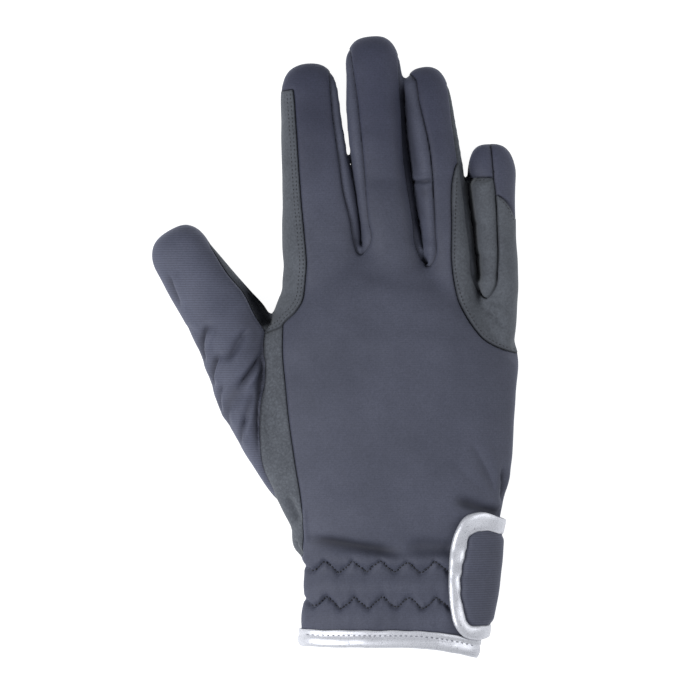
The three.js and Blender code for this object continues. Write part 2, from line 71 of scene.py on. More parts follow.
# Fingers: across and along place the knuckle, lean is in degrees, the width is a share of the palm's.
# The rows hold the share along the finger, its reach to either side, its height and its top seams.
fingers = {
    "index": {
        "across": -0.329, "along": 0.971, "lean": 4.7, "length": 74.6, "widthShare": 0.2438,
        "rows": [
            (-0.34, 0.40, 0.42, 0.92, -0.46, 0.60), (-0.24, 0.62, 0.45, 0.95, -0.42, 0.59),
            (-0.12, 0.745, 0.60, 1.0, -0.36, 0.55), (-0.02, 0.69, 0.66, 1.01, -0.302, 0.57),
            (0.078, 0.675, 0.70, 1.02, -0.298, 0.581), (0.326, 0.628, 0.655, 0.98, -0.311, 0.467),
            (0.47, 0.59, 0.585, 0.93, -0.30, 0.43), (0.617, 0.56, 0.54, 0.98, -0.291, 0.40),
            (0.824, 0.50, 0.51, 0.9, -0.285, 0.388),
        ],
    },
    "middle": {
        "across": -0.0385, "along": 0.994, "lean": 5.7, "length": 82.4, "widthShare": 0.2438,
        "rows": [
            (-0.225, 0.40, 0.42, 0.95, -0.34, 0.35), (0.055, 0.475, 0.58, 1.02, -0.375, 0.46),
            (0.243, 0.515, 0.51, 1.0, -0.363, 0.422), (0.36, 0.525, 0.495, 0.94, -0.35, 0.415),
            (0.478, 0.53, 0.485, 1.0, -0.337, 0.414), (0.711, 0.525, 0.505, 0.95, -0.346, 0.44),
            (0.85, 0.463, 0.498, 0.9, -0.363, 0.466),
        ],
    },
    "ring": {
        "across": 0.2265, "along": 0.906, "lean": 8.1, "length": 81.6, "widthShare": 0.2258,
        "rows": [
            (-0.2, 0.38, 0.36, 0.95, -0.31, 0.29), (0.079, 0.42, 0.46, 1.02, -0.309, 0.375),
            (0.184, 0.47, 0.465, 1.0, -0.251, 0.375), (0.373, 0.50, 0.49, 0.94, -0.163, 0.405),
            (0.608, 0.485, 0.49, 0.98, -0.104, 0.42), (0.844, 0.43, 0.445, 0.88, -0.176, 0.411),
        ],
    },
    "little": {
        "across": 0.4274, "along": 0.774, "lean": 3.7, "length": 67.2, "widthShare": 0.2090,
        "rows": [
            (-0.2, 0.30, 0.18, 0.9, -0.196, 0.374), (-0.08, 0.36, 0.30, 0.95, -0.16, 0.41),
            (0.114, 0.36, 0.39, 0.98, -0.096, 0.475), (0.342, 0.405, 0.435, 0.95, 0.039, 0.527),
            (0.5, 0.44, 0.455, 0.9, 0.065, 0.55), (0.663, 0.475, 0.48, 0.92, 0.076, 0.581),
            (0.83, 0.46, 0.535, 0.85, 0.04, 0.64),
        ],
    },
}

# Thumb: across, along, reach left, reach right, height
thumbRows = [
    (-0.450, 0.160, 0.08, 0.09, 0.50), (-0.530, 0.265, 0.18, 0.13, 0.72),
    (-0.573, 0.355, 0.29, 0.15, 0.9), (-0.615, 0.452, 0.38, 0.24, 1.0),
    (-0.640, 0.505, 0.44, 0.33, 1.03), (-0.660, 0.548, 0.45, 0.39, 0.95),
    (-0.678, 0.590, 0.435, 0.42, 1.05), (-0.701, 0.639, 0.44, 0.54, 1.02),
    (-0.720, 0.680, 0.44, 0.63, 0.94), (-0.752, 0.729, 0.42, 0.69, 1.0),
    (-0.808, 0.819, 0.43, 0.585, 0.98), (-0.862, 0.903, 0.47, 0.47, 0.98),
    (-0.920, 0.985, 0.465, 0.385, 0.92),
]

# Palm and cuff: along, reach left, reach right, height, lift off the floor
palmRows = [
    (-1.0, 0.418, 0.328, 0.80, 1.0), (-0.82, 0.419, 0.346, 0.79, 1.0), (-0.64, 0.415, 0.358, 0.80, 1.0),
    (-0.47, 0.406, 0.372, 0.75, 1.0), (-0.30, 0.406, 0.386, 0.79, 1.0), (-0.08, 0.406, 0.396, 0.74, 1.0),
    (0.013, 0.418, 0.402, 0.80, 1.0), (0.039, 0.448, 0.404, 0.75, 1.0), (0.065, 0.462, 0.406, 0.79, 1.0),
    (0.105, 0.464, 0.412, 0.84, 1.0), (0.135, 0.484, 0.424, 0.85, 1.0), (0.168, 0.505, 0.434, 0.86, 1.0),
    (0.235, 0.545, 0.457, 0.90, 0.6), (0.323, 0.600, 0.479, 0.95, 0.15),
    (0.42, 0.618, 0.487, 0.99, 0.0), (0.52, 0.612, 0.496, 1.0, 0.0), (0.645, 0.600, 0.504, 0.98, 0.0),
    (0.735, 0.595, 0.505, 0.95, 0.0), (0.82, 0.570, 0.507, 0.88, 0.0), (0.90, 0.542, 0.507, 0.77, 0.0),
    (0.96, 0.512, 0.504, 0.62, 0.0), (1.0, 0.49, 0.49, 0.44, 0.0),
]
fingerLine = {"depth": 0.742, "peak": -0.128, "start": 0.55}
hemDrop = 1.35

# Seam lines in plan, as (across, along) on the hand
seams = {
    "thumbRoot": [
        (-0.60, 1.03), (-0.58, 0.90), (-0.545, 0.79), (-0.573, 0.732), (-0.572, 0.613),
        (-0.588, 0.484), (-0.596, 0.403), (-0.581, 0.290), (-0.538, 0.226), (-0.513, 0.171),
    ],
    "thumbSide": [
        (-0.860, 1.10), (-0.822, 1.035), (-0.775, 0.977), (-0.722, 0.915), (-0.660, 0.858),
        (-0.612, 0.785), (-0.570, 0.735),
    ],
    "gusset": [
        (-0.500, 0.80), (-0.502, 0.752), (-0.502, 0.652), (-0.489, 0.55), (-0.475, 0.448),
        (-0.452, 0.323), (-0.424, 0.194), (-0.416, 0.05), (-0.425, -0.10), (-0.445, -0.60), (-0.45, -1.2),
    ],
    "patchEnd": [
        (-0.4225, 0.832), (-0.453, 0.797), (-0.493, 0.768), (-0.508, 0.752), (-0.547, 0.739), (-0.572, 0.732),
    ],
    "rein": [
        (0.30, 1.285), (0.250, 1.277), (0.231, 1.232), (0.222, 1.077), (0.225, 0.924),
        (0.248, 0.847), (0.291, 0.781), (0.359, 0.713), (0.427, 0.684), (0.513, 0.668), (0.60, 0.660),
    ],
    "littleTip": [(0.412, 1.174), (0.440, 1.161), (0.473, 1.132), (0.494, 1.100), (0.560, 1.060)],
}
stripRows = {
    "indexMiddle": {
        "left": "index", "right": "middle", "crotch": (-0.172, 0.987), "leftStart": 0.07,
        "rightStart": 0.05, "longer": "middle", "along": 0.93, "side": -0.75,
    },
    "middleRing": {
        "left": "middle", "right": "ring", "crotch": (0.121, 0.948), "leftStart": 0.01,
        "rightStart": 0.12, "longer": "middle", "along": 0.96, "side": 0.75,
    },
    "ringLittle": {
        "left": "ring", "right": "little", "crotch": (0.366, 0.842), "leftStart": -0.01,
        "rightStart": 0.19, "longer": "ring", "along": 0.80, "side": 0.80, "rightTip": 0.02,
    },
}
stripTip = {"along": 1.03, "side": 0.40}
indexPatchTop = 0.868
littleSideEnd = 1.232
slit = {"across": 0.332, "wide": 3.0, "top": -0.25, "corner": -0.90}


# Placing points on the hand
def handX(across):
    return across * hand["palmWidth"]


def handY(along):
    reach = np.where(np.asarray(along) < 0, hand["cuffLength"], hand["palmLength"])
    return along * reach - hand["palmLength"] / 2


def onHand(point):
    return (handX(point[0]), float(handY(point[1])))


def hemDropAt(across):
    return hemDrop * np.maximum(0, across) ** 2 * hand["cuffLength"]


def fadeIn(value, start, end):
    share = np.clip((np.asarray(value, float) - start) / (end - start), 0, 1)
    return share * share * (3 - 2 * share)


def smoothBetween(places, values, at):
    places = np.asarray(places, float)
    values = np.asarray(values, float)
    at = np.clip(at, places[0], places[-1])
    slopes = np.gradient(values, places, axis=0)
    low = np.clip(np.searchsorted(places, at, side="right") - 1, 0, len(places) - 2)
    span = places[low + 1] - places[low]
    share = (at - places[low]) / span
    if values.ndim > 1:
        span = span[..., None]
        share = share[..., None]
    square = share * share
    cube = square * share
    return (
        (2 * cube - 3 * square + 1) * values[low]
        + (cube - 2 * square + share) * span * slopes[low]
        + (3 * square - 2 * cube) * values[low + 1]
        + (cube - square) * span * slopes[low + 1]
    )


def smoothPath(points, perSpan=8):
    points = np.asarray(points, float)
    steps = np.linalg.norm(np.diff(points, axis=0), axis=1)
    places = np.concatenate([[0], np.cumsum(steps)])
    spans = [np.linspace(a, b, perSpan, endpoint=False) for a, b in zip(places[:-1], places[1:])]
    return smoothBetween(places, points, np.concatenate(spans + [places[-1:]]))


# Rings and lofts
def sectionRing(left, right, floor, top, turns):
    belly = floor + (top - floor) * section["belly"]
    sag = (top - floor) * section["flatShare"]
    cos = np.cos(turns)
    sin = np.sin(turns)
    upper = sin >= 0
    power = 2 / np.where(upper, section["topFullness"], section["baseFullness"])
    sideways = np.sign(cos) * np.abs(cos) ** power * np.where(cos > 0, right, left)
    rise = np.abs(sin) ** power
    up = np.where(upper, belly + (top - belly) * rise, belly - (belly - floor + sag) * rise)
    return sideways, np.maximum(floor, up)


def ringGrid(rings, closed=True):
    count, sides = rings.shape[:2]
    last = sides if closed else sides - 1
    ring, side = np.meshgrid(np.arange(count - 1), np.arange(last), indexing="ij")
    a = (ring * sides + side).ravel()
    b = (ring * sides + (side + 1) % sides).ravel()
    return np.concatenate([np.stack([a, b, b + sides], 1), np.stack([a, b + sides, a + sides], 1)])


def closedLoft(rings):
    faces = ringGrid(rings)[:, ::-1]
    count, sides = rings.shape[:2]
    points = rings.reshape(-1, 3)
    ends = np.stack([rings[0].mean(0), rings[-1].mean(0)])
    side = np.arange(sides)
    after = (side + 1) % sides
    start = np.stack([np.full(sides, len(points)), side, after], 1)
    far = (count - 1) * sides
    end = np.stack([np.full(sides, len(points) + 1), far + after, far + side], 1)
    return np.vstack([points, ends]), np.vstack([faces, start, end])


def ringAt(station, turns):
    sideways, up = sectionRing(station["left"], station["right"], station["floor"], station["top"], turns)
    x = station["x"] + sideways * math.cos(station["heading"])
    y = station["y"] + sideways * math.sin(station["heading"])
    return np.stack([x, y, up], 1)


tipShape = {"steps": 12, "taper": 0.66, "underTaper": 0.7, "smallest": 0.02}


def roundedTip(end, reach):
    belly = end["floor"] + (end["top"] - end["floor"]) * section["belly"]
    stations = []
    for angle in np.linspace(0, math.pi / 2, tipShape["steps"] + 1)[1:]:
        size = max(math.cos(angle), tipShape["smallest"]) ** tipShape["taper"]
        travel = math.sin(angle) * reach
        stations.append({
            **end,
            "x": end["x"] - math.sin(end["heading"]) * travel,
            "y": end["y"] + math.cos(end["heading"]) * travel,
            "left": end["left"] * size, "right": end["right"] * size,
            "floor": belly + (end["floor"] - belly) * size ** tipShape["underTaper"],
            "top": belly + (end["top"] - belly) * size,
        })
    return stations


def fingerWidth(finger):
    return finger["widthShare"] * hand["palmWidth"]


def fingerValue(finger, key, along):
    rows = np.array(finger["rows"])
    return smoothBetween(rows[:, 0], rows[:, rowKeys.index(key)], along)


def onFinger(finger, along, side):
    heading = math.radians(finger["lean"])
    forward = along * finger["length"]
    sideways = side * fingerWidth(finger)
    x = handX(finger["across"]) - forward * math.sin(heading) + sideways * math.cos(heading)
    y = handY(finger["along"]) + forward * math.cos(heading) + sideways * math.sin(heading)
    return (float(x), float(y))


loftSteps = {"spacing": 1.2, "fingerSides": 72, "handSides": 160}


def fingerLoft(finger):
    first = finger["rows"][0][0]
    last = finger["rows"][-1][0]
    wide = fingerWidth(finger)
    stations = []
    for along in np.arange(first, last, loftSteps["spacing"] / finger["length"]):
        x, y = onFinger(finger, along, 0)
        stations.append({
            "x": x, "y": y, "heading": math.radians(finger["lean"]),
            "left": fingerValue(finger, "left", along) * wide,
            "right": fingerValue(finger, "right", along) * wide,
            "floor": 0.0, "top": fingerValue(finger, "height", along) * hand["fingerHeight"],
        })
    reach = (1 - (first + len(stations) * loftSteps["spacing"] / finger["length"])) * finger["length"]
    stations += roundedTip(stations[-1], reach + loftSteps["spacing"])
    turns = np.linspace(0, 2 * math.pi, loftSteps["fingerSides"], endpoint=False)
    return closedLoft(np.stack([ringAt(station, turns) for station in stations]))


def thumbLoft():
    rows = np.array(thumbRows)
    places = np.array([onHand(row[:2]) for row in rows])
    lengths = np.concatenate([[0], np.cumsum(np.linalg.norm(np.diff(places, axis=0), axis=1))])
    at = np.arange(0, lengths[-1], loftSteps["spacing"])
    line = smoothBetween(lengths, places, at)
    values = smoothBetween(lengths, rows[:, 2:], at)
    heading = np.gradient(line, axis=0)
    palm = np.array(palmRows)
    lifts = smoothBetween(palm[:, 0], palm[:, 4], line[:, 1] / hand["palmLength"] + 0.5)
    stations = []
    for (x, y), (dx, dy), (left, right, height), lift in zip(line, heading, values, lifts):
        stations.append({
            "x": x, "y": y, "heading": math.atan2(-dx, dy),
            "left": left * hand["thumbWidth"], "right": right * hand["thumbWidth"],
            "floor": lift * hand["cuffLift"], "top": height * hand["thumbHeight"],
        })
    stations += roundedTip(stations[-1], hand["thumbTipLength"])
    turns = np.linspace(0, 2 * math.pi, loftSteps["fingerSides"], endpoint=False)
    return closedLoft(np.stack([ringAt(station, turns) for station in stations]))


def palmRing(along, offset, turns):
    rows = np.array(palmRows)
    left, right, height, lift = smoothBetween(rows[:, 0], rows[:, 1:], np.array([along]))[0]
    floor = lift * hand["cuffLift"]
    sideways, up = sectionRing(
        handX(left) + offset, handX(right) + offset,
        floor - offset, floor + height * hand["palmHeight"] + offset, turns,
    )
    across = sideways / hand["palmWidth"]
    blend = fadeIn(along, fingerLine["start"], 1)
    curve = fingerLine["depth"] * (across - fingerLine["peak"]) ** 2 * hand["palmLength"] * blend
    drop = hemDropAt(across) * min(1, max(0, -along))
    return np.stack([sideways, handY(along) - curve - drop, up], 1)


def palmLoft(beyondHem=-1.12):
    low = np.arange(beyondHem, 0, loftSteps["spacing"] / hand["cuffLength"])
    high = np.arange(0, 1, loftSteps["spacing"] / hand["palmLength"])
    turns = np.linspace(0, 2 * math.pi, loftSteps["handSides"], endpoint=False)
    return closedLoft(np.stack([palmRing(along, 0, turns) for along in [*low, *high, 1.0]]))


# Webs that close the glove between two fingers: across, along, and the half sizes in millimetres
webs = {
    "indexMiddle": {"place": (-0.166, 0.955), "size": (4.5, 7.0, 3.6), "height": 5.2},
    "middleRing": {"place": (0.112, 0.935), "size": (4.5, 7.5, 3.6), "height": 5.2},
    "ringLittle": {"place": (0.340, 0.845), "size": (4.5, 9.0, 3.6), "height": 5.0},
    "thumbIndex": {"place": (-0.560, 0.748), "size": (3.8, 5.6, 4.6), "height": 6.5},
}


def webLoft(web):
    x, y = onHand(web["place"])
    wide, long, high = web["size"]
    turns = np.linspace(0, 2 * math.pi, 40, endpoint=False)
    rings = []
    for angle in np.linspace(-1.45, 1.45, 16):
        size = math.cos(angle)
        rings.append(np.stack([
            x + wide * size * np.cos(turns),
            np.full(len(turns), y + long * math.sin(angle)),
            web["height"] + high * size * np.sin(turns),
        ], 1))
    return closedLoft(np.stack(rings))


# Meshes as arrays
def newObject(name, points, faces):
    mesh = bpy.data.meshes.new(name)
    mesh.vertices.add(len(points))
    mesh.vertices.foreach_set("co", np.asarray(points, np.float32).ravel() * np.float32(mm))
    faces = np.asarray(faces, np.int32)
    corners = faces.shape[1]
    mesh.loops.add(faces.size)
    mesh.loops.foreach_set("vertex_index", faces.ravel())
    mesh.polygons.add(len(faces))
    mesh.polygons.foreach_set("loop_start", np.arange(0, faces.size, corners, dtype=np.int32))
    mesh.update(calc_edges=True)
    mesh.validate()
    piece = bpy.data.objects.new(name, mesh)
    bpy.context.collection.objects.link(piece)
    return piece


# The knuckles are calmed longer, where a point's height and place along the hand are in these spans
skin = {
    "voxel": 0.70, "calmRounds": 10, "knuckleRounds": 45,
    "knuckleHeight": (9, 14), "knuckleStart": (22, 36), "knuckleEnd": (56, 66),
}


def fusedSkin(forms):
    points = np.vstack([form[0] for form in forms])
    starts = np.cumsum([0] + [len(form[0]) for form in forms[:-1]])
    faces = np.vstack([form[1] + start for form, start in zip(forms, starts)])
    block = newObject("glove_form", points, faces)
    remesh = block.modifiers.new("skin", "REMESH")
    remesh.mode = "VOXEL"
    remesh.voxel_size = skin["voxel"] * mm
    evaluated = block.evaluated_get(bpy.context.evaluated_depsgraph_get())
    mesh = evaluated.to_mesh()
    found = np.empty(len(mesh.vertices) * 3, np.float32)
    mesh.vertices.foreach_get("co", found)
    corners = np.empty(len(mesh.polygons) * 4, np.int32)
    mesh.polygons.foreach_get("vertices", corners)
    evaluated.to_mesh_clear()
    bpy.data.objects.remove(block)
    quads = corners.reshape(-1, 4).astype(np.int64)
    faces = np.vstack([quads[:, [0, 1, 2]], quads[:, [0, 2, 3]]])
    return found.reshape(-1, 3).astype(float) / mm, faces


def edgesOf(faces, count):
    pairs = np.vstack([faces[:, [0, 1]], faces[:, [1, 2]], faces[:, [2, 0]]])
    low = pairs.min(1)
    high = pairs.max(1)
    keys, back = np.unique(low * count + high, return_inverse=True)
    return np.stack([keys // count, keys % count], 1), back.reshape(3, -1).T


def calmed(points, edges, rounds, weight):
    count = len(points)
    ends = np.concatenate([edges[:, 0], edges[:, 1]])
    others = np.concatenate([edges[:, 1], edges[:, 0]])
    degree = np.bincount(ends, minlength=count)[:, None]
    weight = np.broadcast_to(np.asarray(weight, float), (count,))[:, None]
    for _ in range(rounds):
        total = np.stack([np.bincount(ends, points[others, k], count) for k in range(3)], 1)
        points = points + (total / degree - points) * weight
    return points


def summedAt(faces, values, count):
    total = np.zeros((count, 3))
    for k in range(3):
        for axis in range(3):
            total[:, axis] += np.bincount(faces[:, k], values[:, axis], count)
    return total


def normalsOf(points, faces):
    a, b, c = (points[faces[:, k]] for k in range(3))
    total = summedAt(faces, np.cross(b - a, c - a), len(points))
    return total / np.maximum(np.linalg.norm(total, axis=1, keepdims=True), 1e-9)


# Distances in plan
def pathDistance(plan, path, reach=None):
    plan = np.asarray(plan, float)
    path = np.asarray(path, float)
    best = np.full(len(plan), 1e6)
    side = np.ones(len(plan))
    share = np.zeros(len(plan))
    lengths = np.linalg.norm(np.diff(path, axis=0), axis=1)
    total = lengths.sum()
    near = np.arange(len(plan))
    if reach is not None:
        low = path.min(0) - reach
        high = path.max(0) + reach
        near = np.flatnonzero(((plan > low) & (plan < high)).all(1))
    run = 0
    for start, end, length in zip(path[:-1], path[1:], lengths):
        ahead = (end - start) / max(length, 1e-9)
        offset = plan[near] - start
        along = np.clip(offset @ ahead, 0, length)
        away = offset - along[:, None] * ahead
        distance = np.hypot(away[:, 0], away[:, 1])
        closer = distance < best[near]
        chosen = near[closer]
        best[chosen] = distance[closer]
        cross = ahead[0] * offset[closer, 1] - ahead[1] * offset[closer, 0]
        side[chosen] = np.where(cross >= 0, 1.0, -1.0)
        share[chosen] = (run + along[closer]) / total
        run += length
    return best, side, share


def areaDistance(plan, outline):
    outline = np.asarray(outline, float)
    ring = np.vstack([outline, outline[:1]])
    distance = pathDistance(plan, ring)[0]
    inside = np.zeros(len(plan), bool)
    for (x1, y1), (x2, y2) in zip(ring[:-1], ring[1:]):
        if y1 == y2:
            continue
        crosses = (y1 > plan[:, 1]) != (y2 > plan[:, 1])
        at = x1 + (plan[:, 1] - y1) * (x2 - x1) / (y2 - y1)
        inside ^= crosses & (plan[:, 0] < at)
    return np.where(inside, -distance, distance)


# Cuts a mesh along the line where a field is zero
def splitAlong(points, faces, field, snap=0.22):
    values = field(points)
    edges, edgeOf = edgesOf(faces, len(points))
    start, end = edges.T
    for nearStart in (True, False):
        crossing = values[start] * values[end] < 0
        share = np.where(crossing, values[start] / np.where(crossing, values[start] - values[end], 1), 0.5)
        near = crossing & ((share < snap) if nearStart else (share > 1 - snap))
        moved = start[near] if nearStart else end[near]
        points = points.copy()
        places = points[start[near]] + share[near, None] * (points[end[near]] - points[start[near]])
        points[moved] = places
        values[moved] = 0
    crossing = values[start] * values[end] < 0
    share = values[start[crossing]] / (values[start[crossing]] - values[end[crossing]])
    fresh = points[start[crossing]] + share[:, None] * (points[end[crossing]] - points[start[crossing]])
    middle = np.full(len(edges), -1)
    middle[crossing] = len(points) + np.arange(crossing.sum())
    points = np.vstack([points, fresh])
    cuts = middle[edgeOf]
    crossed = (cuts >= 0).sum(1)
    kept = [faces[crossed == 0]]
    for turn in range(3):
        order = [turn, (turn + 1) % 3, (turn + 2) % 3]
        f = faces[:, order]
        m = cuts[:, order]
        once = (crossed == 1) & (m[:, 0] >= 0)
        kept.append(np.stack([f[once, 0], m[once, 0], f[once, 2]], 1))
        kept.append(np.stack([m[once, 0], f[once, 1], f[once, 2]], 1))
        twice = (crossed == 2) & (m[:, 1] < 0)
        kept.append(np.stack([f[twice, 0], m[twice, 0], m[twice, 2]], 1))
        kept.append(np.stack([m[twice, 0], f[twice, 1], f[twice, 2]], 1))
        kept.append(np.stack([m[twice, 0], f[twice, 2], m[twice, 2]], 1))
    return points, np.vstack(kept)


# Panel outlines in plan
def seamPoints(finger, edge, start, end=0.94, count=26):
    alongs = np.linspace(start, end, count)
    return [onFinger(finger, along, fingerValue(finger, edge, along)) for along in alongs]


def stripOutline(row):
    left = fingers[row["left"]]
    right = fingers[row["right"]]
    leftSeam = seamPoints(left, "seamRight", row["leftStart"])
    rightSeam = seamPoints(right, "seamLeft", row["rightStart"])
    turnBack = smoothPath([leftSeam[3], leftSeam[0], onHand(row["crotch"]), rightSeam[0], rightSeam[3]], 6)
    return [
        *leftSeam[:3:-1], *turnBack, *rightSeam[4:],
        onFinger(right, stripTip["along"], row.get("rightTip", -stripTip["side"])),
        onFinger(fingers[row["longer"]], row["along"], row["side"]),
        onFinger(left, stripTip["along"], stripTip["side"]),
    ]


def corners(*points):
    return [onHand(point) for point in points]


def seamPath(name):
    return [tuple(point) for point in smoothPath([onHand(point) for point in seams[name]], 6)]


def panelOutlines():
    index = fingers["index"]
    little = fingers["little"]
    patchSide = [
        onFinger(index, along, fingerValue(index, "seamLeft", along))
        for along in np.linspace(0.84, -0.12, 30)
    ]
    patchBorder = smoothPath([*patchSide[-2:], *corners(*seams["patchEnd"])], 6)
    littleSeam = [
        onFinger(little, along, fingerValue(little, "seamLeft", along))
        for along in (0.93, 0.87, 0.80, 0.74, 0.68)
    ]
    slitX = handX(slit["across"])
    wideX = slitX + slit["wide"]
    farX = handX(slit["across"] + 1)
    belowY, cornerY, topY = (float(handY(along)) for along in (-2, slit["corner"], slit["top"]))
    return {
        "thumb": seamPath("thumbRoot") + corners((-0.60, 0.08), (-1.3, 0.3), (-1.3, 1.2), (-0.8, 1.2)),
        "thumbBack": seamPath("thumbSide")
        + corners((-0.45, 0.70), (-0.45, 0.05), (-1.4, 0.05), (-1.4, 1.2), (-0.9, 1.2)),
        **{name: stripOutline(row) for name, row in stripRows.items()},
        "littleSide": corners(
            (0.283, littleSideEnd), (0.50, littleSideEnd), (0.50, 1.6), (0.275, 1.6),
        ),
        "indexPatch": [
            onFinger(index, indexPatchTop, -1), onFinger(index, indexPatchTop, -0.29), *patchSide[:-2],
            *[tuple(point) for point in patchBorder], *corners((-0.66, 0.80), (-0.66, 1.2)),
        ],
        "littleBack": [
            onHand((0.46, 1.55)), onFinger(little, stripTip["along"], stripRows["ringLittle"]["rightTip"]),
            *littleSeam, *seamPath("littleTip"), *corners((0.70, 1.1), (0.70, 1.5)),
        ],
        "rein": seamPath("rein") + corners((0.60, 1.15), (0.38, 1.285)),
        "back": seamPath("gusset") + corners((0.9, -1.2), (0.9, 1.8), (-0.7, 1.8), (-0.7, 0.9)),
        "slit": [
            (slitX, belowY), (farX, belowY), (farX, cornerY), (wideX, cornerY), (wideX, topY), (slitX, topY),
        ],
        "corner": [(slitX, belowY), (farX, belowY), (farX, cornerY), (slitX, cornerY)],
    }


def sideSeamField(points):
    along = (points[:, 1] + hand["palmLength"] / 2) / hand["palmLength"]
    return points[:, 2] - hand["sideSeam"] - hand["cuffLift"] * (1 - fadeIn(along, 0.12, 0.28))


def hemField(points):
    return points[:, 1] + hemDropAt(points[:, 0] / hand["palmWidth"]) - handY(-1.0)


# A field is below zero inside its outline
def outlineField(outline):
    def field(points):
        return areaDistance(points[:, :2], outline)

    return field


fields = {name: outlineField(outline) for name, outline in panelOutlines().items()}
fields["sideSeam"] = sideSeamField
fields["hem"] = hemField

formLofts = [fingerLoft(finger) for finger in fingers.values()]
formLofts += [webLoft(web) for web in webs.values()]
skinPoints, skinFaces = fusedSkin([*formLofts, thumbLoft(), palmLoft()])
print("stage: forms fused,", len(skinFaces), "triangles")


def calmSkin(points, faces):
    edges, _ = edgesOf(faces, len(points))
    points = calmed(points, edges, skin["calmRounds"], 0.5)
    overKnuckles = (
        fadeIn(points[:, 2], *skin["knuckleHeight"]) * fadeIn(points[:, 1], *skin["knuckleStart"])
        * (1 - fadeIn(points[:, 1], *skin["knuckleEnd"]))
    )
    return calmed(points, edges, skin["knuckleRounds"], 0.5 * overKnuckles)


skinPoints = calmSkin(skinPoints, skinFaces)
for panelField in fields.values():
    skinPoints, skinFaces = splitAlong(skinPoints, skinFaces, panelField)
print("stage: seams cut,", len(skinFaces), "triangles")


# Which panel each face belongs to, worked out in the order in which the panels are cut
def facePanels(points, faces):
    sides = {name: field(points)[faces].mean(1) for name, field in fields.items()}
    inside = {name: value < 0 for name, value in sides.items()}
    above = sides["sideSeam"] > 0
    names = np.full(len(faces), "palm_panel", dtype="<U24")
    names[inside["back"] & above] = "back_panel"
    names[inside["rein"] & above] = "rein_patch"
    names[inside["littleBack"] & above] = "little_back"
    names[inside["indexPatch"] & above] = "index_patch"
    names[inside["ringLittle"]] = "fourchette_ring_little"
    names[inside["ringLittle"] & inside["littleSide"]] = "little_side"
    names[inside["middleRing"]] = "fourchette_middle_ring"
    names[inside["indexMiddle"]] = "fourchette_index_middle"
    names[inside["thumb"]] = "thumb_front"
    names[inside["thumb"] & inside["thumbBack"] & above] = "thumb_back"
    names[(inside["slit"] & above) | inside["corner"] | inside["hem"]] = "open"
    return names


panelOfFace = facePanels(skinPoints, skinFaces)


def borderDistance(points, faces, names):
    edges, edgeOf = edgesOf(faces, len(points))
    codes = np.unique(names, return_inverse=True)[1]
    lowest = np.full(len(edges), 999)
    highest = np.full(len(edges), -1)
    np.minimum.at(lowest, edgeOf.ravel(), np.repeat(codes, 3))
    np.maximum.at(highest, edgeOf.ravel(), np.repeat(codes, 3))
    border = edges[lowest != highest]
    samples = np.vstack([
        points[border[:, 0]] * (1 - share) + points[border[:, 1]] * share for share in (0, 0.25, 0.5, 0.75)
    ])
    tree = KDTree(len(samples))
    for number, sample in enumerate(samples):
        tree.insert(sample, number)
    tree.balance()
    return np.array([tree.find(point)[2] for point in points])


skinBorder = borderDistance(skinPoints, skinFaces, panelOfFace)
skinNormals = normalsOf(skinPoints, skinFaces)
print("stage: panels found,", len(np.unique(panelOfFace)) - 1)


# Folds, puckers and dents on the upper side, as strokes in plan in millimetres. deep is below the
# surface, or above it where negative. lip is the share that stands up beside the fold, on its left.
# shade is painted shade, how much the colour of its bottom is darkened, and within keeps it inside one
# outline.
def stroke(path, wide, deep, lip=0.0, shade=0.0, within=None):
    return {"path": path, "wide": wide, "deep": deep, "lip": lip, "shade": shade, "within": within}


